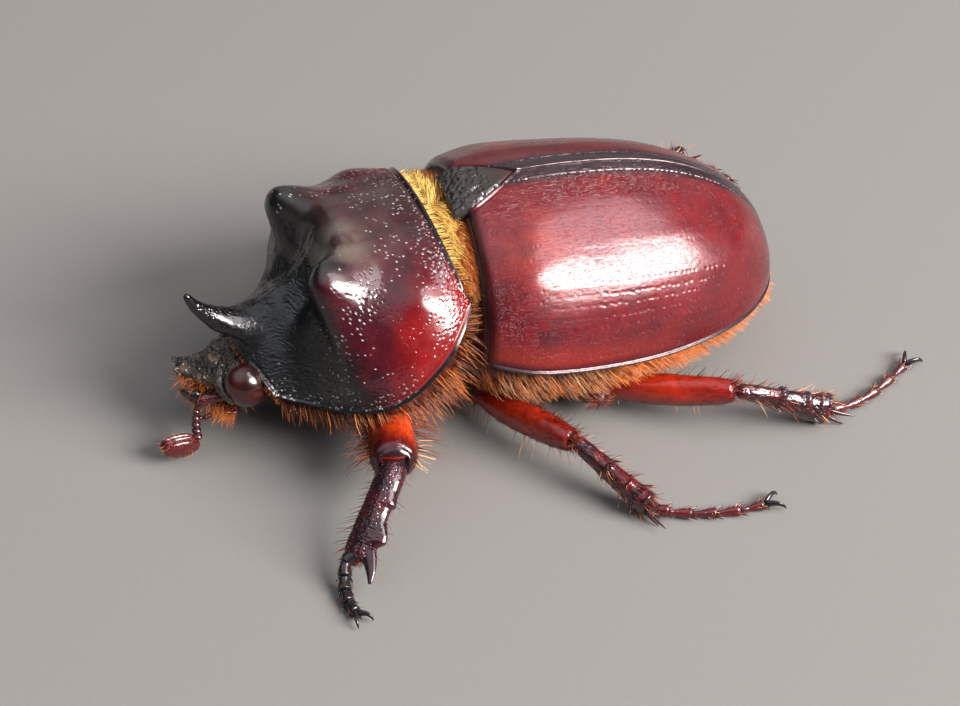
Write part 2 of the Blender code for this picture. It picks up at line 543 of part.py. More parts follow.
# underside of the prothorax
rings = []
UT = [0.0, 0.1, 0.25, 0.4, 0.55, 0.7, 0.85, 1.0]
low_y = [-3.2, -4.2, -5.5, -7.0, -9.0, -11.0, -12.9, -14.2]
low_z = [-7.3, -8.1, -8.6, -8.6, -8.1, -7.1, -5.9, -4.5]
for t_, ly, lz in zip(UT, low_y, low_z):
    mx, my, mz = (float(interp(t_, MARGIN_T, k)) for k in (MARGIN_X, MARGIN_Y, MARGIN_Z))
    a = np.linspace(math.pi, 2 * math.pi, 11)
    e = 2 / 2.1
    c, s = np.cos(a), np.abs(np.sin(a))
    low = np.stack([(mx - 0.7) * np.sign(c) * np.abs(c) ** e, my - 0.05 + (ly - my) * s ** 1.2,
                    mz - 0.14 - (mz - lz) * s ** e], -1)
    xs = np.linspace(mx - 0.7, -mx + 0.7, 4)[1:-1]
    up = np.stack([xs, 0 * xs + my - 0.05, 0 * xs + mz - 0.14], -1)
    rings.append(np.concatenate([low, up]))
underside = add("prothorax_underside", *tube(pro_world(np.array(rings))), "body_dark")

# collar: the waist between prothorax and wing-case bases
a = np.linspace(0, math.pi, 15)
top = pronotum_base(np.zeros(15), a)
b = np.linspace(math.pi, 2 * math.pi, 13)[1:-1]
mx, my, mz = 7.75, 0.35, -1.0
s = np.abs(np.sin(b))
low = np.stack([(mx - 0.5) * np.cos(b), my + (low_y[0] - my) * s ** 1.2, mz + (low_z[0] - mz) * s], -1)
ring = np.concatenate([top, low])
mid = ring.mean(0)
front = pro_world(mid + (ring - mid) * 0.78 + np.array([0, 0.62, 0]))
c, s = math.cos(BODY_PITCH), math.sin(BODY_PITCH)
back = front.copy()           # same outline laid on the plane of the wing-case bases
back[:, 1] = (-0.08 + s * front[:, 2]) / c
back[:, 0] *= 1.04
add("collar", *tube(np.array([front, back])), "hair_gold")

# ---------------------------------------------------------------- head
head_y = [1.9, 1.4, 0.4, -0.6, -1.6, -2.6, -3.6, -4.3]
head = add("head", *tube(head_world(np.array([head_ring(y, 14) for y in head_y]))), "horn_black")
head_cut = add("head_cutter", *tube(head_world(np.array([head_ring(y, 14, 0.12) + np.array([0, 0.12 if i == 0 else 0, 0])
                                                         for i, y in enumerate(head_y[:6])]))), "body_dark", cutter=True)
cut(pronotum, head_cut)
cut(underside, head_cut)
for side, name in ((1, "left"), (-1, "right")):
    c = (EYE[0] * side, EYE[1], EYE[2])
    v, f = ball(c, EYE_R, 12, 7)
    add("eye_" + name, head_world(v), f, "eye_brown")
    v, f = ball(c, [r + 0.05 for r in EYE_R], 12, 7)
    ec = add("eye_cutter_" + name, head_world(v), f, "body_dark", cutter=True)
    cut(head, ec)
    cut(pronotum, ec)
    cut(underside, ec)

# mouthparts under the clypeus
rings = []
for y, w, zt, zb in ((-1.9, 1.5, -2.5, -3.4), (-2.6, 1.6, -1.9, -3.1), (-3.2, 1.35, -0.9, -2.4), (-3.8, 1.0, 0.2, -1.3), (-4.2, 0.7, 0.9, -0.3)):
    aa = np.linspace(0, 2 * math.pi, 12, endpoint=False)
    rings.append(np.stack([w * np.cos(aa), 0 * aa + y, (zt + zb) / 2 + (zt - zb) / 2 * np.sin(aa)], -1))
mouth = add("mouthparts", *tube(head_world(np.array(rings))), "body_dark")
v, f = tube(head_world(np.array([head_ring(y, 14, 0.08) for y in (-0.5, -1.0, -1.8, -2.6, -3.3, -3.9, -4.35)])))
cut(mouth, add("mouth_cutter", v, f, "body_dark", cutter=True))


def limb_node(name, pts, radii, broad, rings, sides, material, to_world=None, **kw):
    r = limb(pts, radii, broad, rings, sides, **kw)
    if to_world is not None:
        r = to_world(r)
    return add(name, *tube(r), material)


for side, name in ((1, "left"), (-1, "right")):
    pts = [(1.68 * side, -2.95, -0.72), (1.78 * side, -3.5, -0.42), (1.62 * side, -4.2, 0.1), (1.1 * side, -4.78, 0.6)]
    m = limb_node("mandible_" + name, pts, [(0.45, 0.31), (0.49, 0.33), (0.41, 0.3), (0.27, 0.26)], (0, 0, 1), 8, 6,
                  "horn_black", head_world)
    cut(m, bpy.data.objects["mouth_cutter"])
    cut(bpy.data.objects["mouthparts"], add("mandible_cutter_" + name, *tube(head_world(limb(
        pts, [(0.54, 0.4), (0.58, 0.42), (0.5, 0.39), (0.35, 0.34)], (0, 0, 1), 8, 8))), "body_dark", cutter=True))

# ---------------------------------------------------------------- feelers
ANT = {
    "left": dict(stem=[(2.35, -17.6, -2.05), (2.15, -18.5, -1.6), (1.85, -19.5, -1.5), (1.75, -20.1, -1.9), (1.78, -20.7, -2.85),
                       (1.85, -21.2, -4.0)],
                 club=[(1.95, -21.45, -4.75), (2.1, -22.2, -4.2), (2.25, -23.0, -3.6), (2.3, -23.75, -3.0)]),
    "right": dict(stem=[(-2.6, -17.1, -2.9), (-2.5, -17.9, -3.3), (-2.35, -18.2, -4.0), (-2.3, -17.9, -4.7), (-2.35, -17.3, -5.2)],
                  club=[(-2.45, -16.8, -5.7), (-2.6, -16.1, -5.9), (-2.7, -15.3, -6.0), (-2.75, -14.6, -6.0)]),
}
for name, d in ANT.items():
    n = len(d["stem"])
    r = [0.34, 0.42, 0.36] + [0.3] * (n - 3)
    host = bpy.data.objects["head"]
    cut(host, add("antenna_cutter_" + name, *tube(pro_world(limb(d["stem"][:3], [(0.4, 0.4), (0.48, 0.48), (0.42, 0.42)],
        (1, 0, 0), 9, 8))), "body_dark", cutter=True))
    limb_node("antenna_" + name, d["stem"], [(q, q) for q in r], (1, 0, 0), 10, 6, "leg_red", pro_world)
    ob = limb_node("antenna_club_" + name, d["club"], [(0.45, 0.4), (0.75, 0.62), (0.72, 0.6), (0.42, 0.35)], (0, 0.6, 1), 8, 8,
                   "leg_red", pro_world)

# ---------------------------------------------------------------- legs
def tooth(k, at, width, height):
    d = (k - at) / width
    return height * max(0.0, 1 - abs(d)) if d > 0 else height * max(0.0, 1 - abs(d) * 0.45)


for leg, L in LEGS.items():
    front = leg.startswith("front")
    side = 1 if leg.endswith("left") else -1
    c, r = L["coxa"]
    v, f = ball(c, r, 9, 6)
    coxa = add("coxa_" + leg, v, f, "body_dark")
    v, f = ball(c, [q + 0.08 for q in r], 9, 6)
    cc = add("coxa_cutter_" + leg, v, f, "body_dark", cutter=True)
    for host in ((underside,) if front else (thorax, abdomen)):
        cut(host, cc)
    fem = np.array(L["femur"])
    d = fem[0] - fem[1]
    d /= np.linalg.norm(d)
    start = fem[0] + d * 1.9
    pts = [tuple(start)] + [tuple(p) for p in fem]
    rr = [(L["femur_r"][0][0] * 0.85, L["femur_r"][0][1] * 0.85)] + L["femur_r"]
    femur = limb_node("femur_" + leg, pts, rr, (0, 0, 1), 8, 8, "leg_red")
    fc = add("femur_cutter_" + leg, *tube(limb([tuple(start + d * 0.1)] + [tuple(p) for p in fem],
             [(q[0] + 0.12, q[1] + 0.12) for q in rr], (0, 0, 1), 8, 8)), "body_dark", cutter=True)
    cut(coxa, fc)
    for host in ((underside,) if front else (thorax, abdomen)):
        cut(host, fc)
    tib = [np.array(p) for p in L["tibia"]]
    knee = tib[0]
    shape = None
    if front:
        def shape(k):
            out = tooth(k, 0.5, 0.06, 0.55) + tooth(k, 0.74, 0.07, 0.85) + 0.35 * max(0, (k - 0.78) / 0.22)
            return (out, 0.0)
    else:
        def shape(k):
            q = 0.22 * max(0.0, 1 - abs(k - 0.42) / 0.05) + 0.3 * max(0.0, 1 - abs(k - 0.7) / 0.05)
            return (q, q * 0.4)
    # the outer, toothed edge of the tibia faces back and up
    broad = (0.25 * side, 0.85, 0.45) if front else (0.0, -0.35, 0.93)
    tibia = limb_node("tibia_" + leg, [tuple(p) for p in tib], L["tibia_r"], broad, 19 if front else 11, 8, "leg_dark",
                      shape=shape)
    rk = L["tibia_r"][0][0]
    kc = add("knee_cutter_" + leg, *tube(limb([tuple(p) for p in tib[:3]], [(q[0] + 0.09, q[1] + 0.09) for q in L["tibia_r"][:3]],
             broad, 8, 8)), "body_dark", cutter=True)
    cut(femur, kc)
    # foot: five joints, each a little flat below
    tar = np.array(L["tarsus"])
    back = tib[-1] - tib[-2]
    back /= np.linalg.norm(back)
    tar = np.concatenate([[tib[-1] - back * 0.45 * (1 if front else 0.6)], tar])
    path, kk, _ = smooth_path(tar, 60)
    tan, bb, nn = frames(path, (0, 0, 1))
    sides = 6
    ang = np.linspace(0, 2 * math.pi, sides, endpoint=False) + math.pi / sides

    def foot_ring(k, rad):
        i = min(int(k * 59), 59)
        p = np.array([np.interp(k, kk, path[:, m]) for m in range(3)])
        return p + rad * (np.cos(ang)[:, None] * bb[i] + np.sin(ang)[:, None] * nn[i])

    rings = []
    for j in range(5):
        for q, rad in ((0.04, 0.29), (0.6, 0.455), (0.88, 0.465)):
            rings.append(foot_ring((j + q) / 5, rad))
    rings.append(foot_ring(1.0, 0.22))
    rings = np.array(rings)
    rings[..., 2] = np.maximum(rings[..., 2], FLOOR)
    tarsus = add("tarsus_" + leg, *tube(rings), "leg_dark")
    socket = [foot_ring(0.008, 0.37) - 0.12 * tan[0], foot_ring(0.12, 0.5), foot_ring(0.176, 0.53), foot_ring(0.36, 0.58)]
    tc = add("tarsus_cutter_" + leg, *tube(np.array(socket)), "body_dark", cutter=True)
    cut(tibia, tc)
    # claws: one hooked pair
    end = path[-1]
    dx, dy = L["claws"]
    fwd = np.array([dx, dy, 0.0])
    fwd /= np.linalg.norm(fwd)
    lat = np.array([-fwd[1], fwd[0], 0.0])
    base = end + tan[-1] * 0.21
    claw = [base + fwd * 1.3 + lat * 0.95 + (0, 0, -0.13), base + fwd * 1.05 + lat * 0.85 + (0, 0, 0.2),
            base + fwd * 0.5 + lat * 0.55 + (0, 0, 0.4), base + fwd * 0.12 + (0, 0, 0.12),
            base + fwd * 0.5 - lat * 0.55 + (0, 0, 0.4), base + fwd * 1.05 - lat * 0.85 + (0, 0, 0.2),
            base + fwd * 1.3 - lat * 0.95 + (0, 0, -0.13)]
    rr = [(0.12, 0.12), (0.22, 0.22), (0.27, 0.27), (0.28, 0.28), (0.27, 0.27), (0.22, 0.22), (0.12, 0.12)]
    r = limb([tuple(p) for p in claw], rr, (0, 0, 1), 11, 5)
    add("claws_" + leg, *tube(r), "horn_black")

# ---------------------------------------------------------------- to metres, standing on z = 0
bpy.context.view_layer.update()
solids = [o for o in bpy.data.objects if not o.hide_render]
lo = np.array([1e9] * 3)
hi = -lo
for o in solids:
    c = np.array([v.co[:] for v in o.data.vertices])
    lo, hi = np.minimum(lo, c.min(0)), np.maximum(hi, c.max(0))
shift = np.array([-(lo[0] + hi[0]) / 2, -(lo[1] + hi[1]) / 2, -lo[2]])
for o in bpy.data.objects:
    for v in o.data.vertices:
        v.co = (np.array(v.co[:]) + shift) * U
    o.data.update()
bpy.context.view_layer.update()
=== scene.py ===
"""Looks of the ox beetle: a life-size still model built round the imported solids.

Lengths in the shape functions are design units (1 unit = U metres) in the levelled
frame; place() puts them in the row frame, in metres.
"""
import math

import bpy
import numpy as np
from mathutils import Matrix, Quaternion, Vector, bvhtree, kdtree


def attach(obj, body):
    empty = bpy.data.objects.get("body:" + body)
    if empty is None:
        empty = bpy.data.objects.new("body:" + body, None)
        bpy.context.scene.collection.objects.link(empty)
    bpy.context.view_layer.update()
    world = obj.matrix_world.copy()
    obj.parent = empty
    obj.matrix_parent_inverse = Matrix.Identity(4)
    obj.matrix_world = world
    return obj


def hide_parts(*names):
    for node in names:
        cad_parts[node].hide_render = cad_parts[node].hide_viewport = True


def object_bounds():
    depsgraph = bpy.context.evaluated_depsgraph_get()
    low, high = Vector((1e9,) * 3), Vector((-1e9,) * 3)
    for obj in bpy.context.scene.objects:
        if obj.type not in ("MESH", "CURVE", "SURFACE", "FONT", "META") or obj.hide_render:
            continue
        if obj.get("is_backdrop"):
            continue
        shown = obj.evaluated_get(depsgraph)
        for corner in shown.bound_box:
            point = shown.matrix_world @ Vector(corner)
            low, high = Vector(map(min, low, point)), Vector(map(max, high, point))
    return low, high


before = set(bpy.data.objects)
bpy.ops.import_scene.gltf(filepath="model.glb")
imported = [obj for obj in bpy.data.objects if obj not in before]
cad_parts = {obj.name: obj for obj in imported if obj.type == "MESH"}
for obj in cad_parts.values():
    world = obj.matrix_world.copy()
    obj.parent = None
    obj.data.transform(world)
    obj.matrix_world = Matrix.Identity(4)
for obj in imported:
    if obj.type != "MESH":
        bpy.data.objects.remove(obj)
cad_low, cad_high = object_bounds()
CAD_BOX = [list(cad_low), list(cad_high)]

# the row frame's origin, in design units, as the solids have it
SHIFT = np.array((-1.75376225, -6.16121483, 8.0))
# ---------------------------------------------------------------- dimensions
BODY_LENGTH = 40.0            # mm, clypeus front to wing-case tip
UNITS_LONG = 45.3             # the same length in design units
U = BODY_LENGTH / UNITS_LONG / 1000.0   # metres in one design unit
BODY_PITCH = math.radians(6.06)   # body axis, head up
FLOOR = -8.0                  # floor level below the wing-case base, units

# wing cases (body frame: +X beetle's left, +Y towards the tail, +Z up)
ELYTRA_LENGTH = 25.0
ELYTRA_HALF_WIDTH = 10.94
ELYTRA_HEIGHT = 10.27
BASE_WIDTH_RATIO = 0.874
BASE_HEIGHT_RATIO = 0.86
SHOULDER_AT = 0.18
TOP_AT = 0.389
TAIL_WIDTH_POWER = 2.24
TAIL_HEIGHT_POWER = 2.03
SECTION_POWER = 1.822
MARGIN_RISE_FRONT = 0.828
MARGIN_RISE_TAIL = 0.172
SHELL = 0.95                  # wing-case wall
SEAM = 0.06                   # half the gap along the suture
SCUTELLUM_HALF_WIDTH = 2.45
SCUTELLUM_FRONT = -0.35
SCUTELLUM_APEX = 4.35

# prothorax frame: its own axes in the levelled frame, turned to the left and nose down
PRO_YAW = math.radians(4.0)
PRO_PITCH = math.radians(22.0)
PRO_ORIGIN = (0.0, -1.62, 5.6)
MARGIN_T = [0.0, 0.07, 0.15, 0.25, 0.35, 0.45, 0.55, 0.63, 0.71, 0.79, 0.87, 1.0]
MARGIN_X = [7.75, 9.0, 9.9, 10.45, 10.65, 10.5, 9.95, 9.1, 8.0, 6.75, 5.75, 4.75]
MARGIN_Y = [0.35, -0.85, -2.25, -3.95, -5.65, -7.3, -8.9, -10.1, -11.25, -12.35, -13.4, -14.8]
MARGIN_Z = [-1.0, -1.3, -1.75, -2.25, -2.72, -3.0, -3.1, -3.1, -3.15, -3.15, -2.85, -1.75]
CREST_Y = [1.0, -0.4, -2.0, -3.7, -5.2, -6.7, -8.2, -9.5, -10.8, -12.2, -13.6, -15.55]
CREST_Z = [3.1, 3.6, 4.35, 5.1, 5.65, 5.5, 4.65, 3.65, 2.95, 2.55, 2.1, 0.55]
SECTION_T = [0.0, 0.15, 0.45, 0.55, 0.63, 0.71, 0.79, 0.87, 1.0]
SECTION_N = [1.8, 1.68, 1.65, 1.6, 1.5, 1.32, 1.22, 1.3, 1.6]
TUBERCLE = (4.4, -7.6, 2.1)       # x, y, height
TUBERCLE_WIDTH = (1.5, 2.1)       # towards the middle, towards the side
FOVEA = (-8.1, -1.3)                # y, depth


def interp(x, xs, ys):
    """Smooth curve through the knots (monotone tangents)."""
    xs = np.asarray(xs, float)
    ys = np.asarray(ys, float)
    x = np.clip(np.asarray(x, float), xs[0], xs[-1])
    h = np.diff(xs)
    s = np.diff(ys) / h
    m = np.zeros_like(ys)
    m[0], m[-1] = s[0], s[-1]
    w1 = 2 * h[1:] + h[:-1]
    w2 = h[1:] + 2 * h[:-1]
    same = s[:-1] * s[1:] > 0
    with np.errstate(divide="ignore", invalid="ignore"):
        hm = (w1 + w2) / (w1 / s[:-1] + w2 / s[1:])
    m[1:-1] = np.where(same, hm, 0.0)
    k = np.clip(np.searchsorted(xs, x, side="right") - 1, 0, len(h) - 1)
    t = (x - xs[k]) / h[k]
    return ((2 * t ** 3 - 3 * t ** 2 + 1) * ys[k] + (t ** 3 - 2 * t ** 2 + t) * h[k] * m[k]
            + (-2 * t ** 3 + 3 * t ** 2) * ys[k + 1] + (t ** 3 - t ** 2) * h[k] * m[k + 1])


def body_to_world(p):
    """Body frame (units) to the levelled frame (units), floor still at FLOOR."""
    p = np.asarray(p, float)
    c, s = math.cos(BODY_PITCH), math.sin(BODY_PITCH)
    return np.stack([p[..., 0], p[..., 1] * c + p[..., 2] * s, -p[..., 1] * s + p[..., 2] * c], -1)


def pro_world(p):
    """Prothorax frame to the levelled frame."""
    p = np.asarray(p, float)
    cp, sp = math.cos(PRO_PITCH), math.sin(PRO_PITCH)
    cy, sy = math.cos(PRO_YAW), math.sin(PRO_YAW)
    y = p[..., 1] * cp - p[..., 2] * sp
    z = p[..., 1] * sp + p[..., 2] * cp
    x = p[..., 0]
    return np.stack([x * cy - y * sy + PRO_ORIGIN[0], x * sy + y * cy + PRO_ORIGIN[1], z + PRO_ORIGIN[2]], -1)


# ---------------------------------------------------------------- wing cases
def elytra_profile(s):
    """Half-width, height over the margin and margin level at the station s."""
    s = np.asarray(s, float)
    a = np.clip((SHOULDER_AT - s) / SHOULDER_AT, 0, 1)
    b = np.clip((s - SHOULDER_AT) / (1 - SHOULDER_AT), 0, 1)
    f = np.where(s < SHOULDER_AT, 1 - (1 - BASE_WIDTH_RATIO) * a ** 2,
                 (1 - b ** TAIL_WIDTH_POWER) ** (1 / TAIL_WIDTH_POWER))
    a = np.clip((TOP_AT - s) / TOP_AT, 0, 1)
    b = np.clip((s - TOP_AT) / (1 - TOP_AT), 0, 1)
    g = np.where(s < TOP_AT, 1 - (1 - BASE_HEIGHT_RATIO) * a ** 2,
                 (1 - b ** TAIL_HEIGHT_POWER) ** (1 / TAIL_HEIGHT_POWER))
    m = np.where(s < 0.5, MARGIN_RISE_FRONT * (1 - 2 * s) ** 2, MARGIN_RISE_TAIL * (2 * s - 1) ** 2)
    return f, g, m


def elytra_point(s, th, inset=0.0, inner_x=None):
    """Point on the wing cases (left side): s along, th from the margin to the top.
    inner_x limits how far towards the middle th = pi/2 reaches."""
    f, g, m = elytra_profile(s)
    w = (ELYTRA_HALF_WIDTH - inset) * f
    h = (ELYTRA_HEIGHT - inset) * g
    e = 2.0 / SECTION_POWER
    if inner_x is not None:
        c = np.clip(inner_x / np.maximum(w, 1e-6), 0, 0.98)
        top = np.arccos(c ** (1 / e))
        th = th / (math.pi / 2) * top
    x = w * np.clip(np.cos(th), 0, 1) ** e
    z = m + h * np.clip(np.sin(th), 0, 1) ** e
    y = s * (ELYTRA_LENGTH - inset) + 0 * x
    return np.stack([x, y, z], -1)


def elytra_top(x, y, inset=0.0):
    """Height of the wing-case surface over the point x, y."""
    s = np.clip(y / (ELYTRA_LENGTH - inset), 0, 1)
    f, g, m = elytra_profile(s)
    w = (ELYTRA_HALF_WIDTH - inset) * f
    h = (ELYTRA_HEIGHT - inset) * g
    r = np.clip(np.abs(x) / np.maximum(w, 1e-6), 0, 1)
    return m + h * (1 - r ** SECTION_POWER) ** (1 / SECTION_POWER)


def scutellum_half(y):
    """Half-width of the notch for the scutellum at y."""
    t = np.clip((y - 0.4) / (SCUTELLUM_APEX - 0.4), 0, 1)
    return SCUTELLUM_HALF_WIDTH * (1 - t ** 1.25)


# ---------------------------------------------------------------- prothorax
def pronotum_base(t, th):
    """Smooth shell of the prothorax before its relief: t from hind to front,
    th from the left margin (0) over the top (pi/2) to the right margin (pi)."""
    mx, my, mz = (interp(t, MARGIN_T, k) for k in (MARGIN_X, MARGIN_Y, MARGIN_Z))
    cy, cz = interp(t, MARGIN_T, CREST_Y), interp(t, MARGIN_T, CREST_Z)
    e = 2.0 / interp(t, SECTION_T, SECTION_N)
    c, s = np.cos(th), np.clip(np.sin(th), 0, 1)
    x = mx * np.sign(c) * np.abs(c) ** e
    z = mz + (cz - mz) * s ** e
    y = my + (cy - my) * s ** 1.5
    return np.stack([x, y, z], -1)


def relief(p):
    """Rise of the two tubercles and depth of the hollow between them."""
    x, y = np.abs(p[..., 0]), p[..., 1]
    tx, ty, th = TUBERCLE
    dy = y - ty
    along = np.where(dy > 0, np.exp(-(dy / 2.0) ** 2), np.exp(-(np.abs(dy) / 1.25) ** 4))
    wide = np.where(x < tx, TUBERCLE_WIDTH[0], TUBERCLE_WIDTH[1])
    bump = th * along * np.exp(-np.abs((x - tx) / wide) ** 2.2 * 0.7)
    fy, fd = FOVEA
    dy = y - fy
    hollow = fd * np.exp(-(x / 2.3) ** 2 / 1.6) * np.where(
        dy > 0, np.exp(-(dy / 1.35) ** 2 / 1.4), np.exp(-(dy / 2.2) ** 2 / 1.6))
    return bump + hollow


HORN_Z = [0.3, 1.2, 2.4, 3.3, 4.2, 5.2, 6.0, 6.35]
HORN_Y = [-13.5, -14.1, -14.92, -15.52, -16.0, -16.32, -16.4, -16.42]
HORN_RY = [1.6, 1.5, 1.28, 0.93, 0.65, 0.43, 0.27, 0.0]
HORN_RX = [2.1, 1.75, 1.3, 0.9, 0.62, 0.42, 0.26, 0.0]


def horn_ring(z, sides, grow=0.0):
    """Ring of the horn at the height z (prothorax frame)."""
    a = np.linspace(0, 2 * math.pi, sides, endpoint=False)
    y, ry, rx = (float(interp(z, HORN_Z, k)) for k in (HORN_Y, HORN_RY, HORN_RX))
    if z > 6.0:
        ry = rx = 0.27 * math.sqrt(max(0.0, 1 - ((z - 6.0) / 0.35) ** 2)) + 0.004
    return np.stack([(rx + grow) * np.cos(a), y + (ry + grow) * np.sin(a), z + 0 * a], -1)


# ---------------------------------------------------------------- body core
def belly_depth(s):
    return interp(s, [0, 0.12, 0.3, 0.5, 0.7, 0.85, 0.95, 1.0], [4.9, 5.5, 5.75, 5.4, 4.4, 3.1, 1.9, 0.6])


def core_ring(s, n_top, n_low, inset=1.08, low_inset=0.35):
    """Closed ring of the body under the wing cases at station s."""
    f, g, m = elytra_profile(s)
    w = (ELYTRA_HALF_WIDTH - inset) * f
    h = (ELYTRA_HEIGHT - inset) * g
    e = 2.0 / SECTION_POWER
    a = np.linspace(0, math.pi, n_top)
    top = np.stack([w * np.sign(np.cos(a)) * np.abs(np.cos(a)) ** e,
                    m + h * np.clip(np.sin(a), 0, 1) ** e], -1)
    d = belly_depth(s)
    b = np.linspace(math.pi, 2 * math.pi, n_low)[1:-1]
    e2 = 2.0 / 2.25
    low = np.stack([w * np.sign(np.cos(b)) * np.abs(np.cos(b)) ** e2,
                    m - d * np.abs(np.sin(b)) ** e2], -1)
    r = np.concatenate([top, low])
    y = np.full(len(r), s * (ELYTRA_LENGTH - inset))
    return np.stack([r[:, 0], y, r[:, 1]], -1)
# ---------------------------------------------------------------- head (own frame)
HEAD_ORIGIN = (0.0, -15.75, -1.75)   # in the prothorax frame
HEAD_YAW = math.radians(-8.0)
HEAD_ROLL = math.radians(15.0)
HEAD_Y = [1.9, 1.5, 0.7, -0.1, -1.0, -1.8, -2.6, -3.3, -3.9, -4.3]
HEAD_W = [1.7, 2.6, 3.15, 3.3, 3.1, 2.65, 2.1, 1.6, 1.2, 0.92]
HEAD_TOP = [0.3, 0.9, 1.2, 1.35, 1.4, 1.4, 1.45, 1.6, 1.82, 2.0]
HEAD_LOW = [-1.2, -2.0, -2.6, -2.85, -2.7, -2.3, -1.6, -0.5, 0.6, 1.35]
EYE = (3.25, 0.0, -0.15)
EYE_R = (1.35, 1.5, 1.65)


def head_to_pro(p):
    """Head frame to the prothorax frame (turned and rolled)."""
    p = np.asarray(p, float)
    cr, sr = math.cos(HEAD_ROLL), math.sin(HEAD_ROLL)
    cy, sy = math.cos(HEAD_YAW), math.sin(HEAD_YAW)
    x = p[..., 0] * cr - p[..., 2] * sr
    z = p[..., 0] * sr + p[..., 2] * cr
    y = p[..., 1]
    return np.stack([x * cy - y * sy + HEAD_ORIGIN[0], x * sy + y * cy + HEAD_ORIGIN[1], z + HEAD_ORIGIN[2]], -1)


def head_world(p):
    return pro_world(head_to_pro(p))


def head_ring(y, n, grow=0.0):
    """Ring of the head at y (head frame)."""
    ys = HEAD_Y[::-1]
    w = interp(y, ys, HEAD_W[::-1]) + grow
    t = interp(y, ys, HEAD_TOP[::-1]) + grow
    b = interp(y, ys, HEAD_LOW[::-1]) - grow
    a = np.linspace(0, 2 * math.pi, n, endpoint=False)
    mid = t - (t - b) * 0.42
    e = 2.0 / 2.5
    x = w * np.sign(np.cos(a)) * np.abs(np.cos(a)) ** e
    z = np.where(np.sin(a) > 0, mid + (t - mid) * np.abs(np.sin(a)) ** e, mid - (mid - b) * np.abs(np.sin(a)) ** (2.0 / 2.1))
    return np.stack([x, np.full(n, float(y)), z], -1)


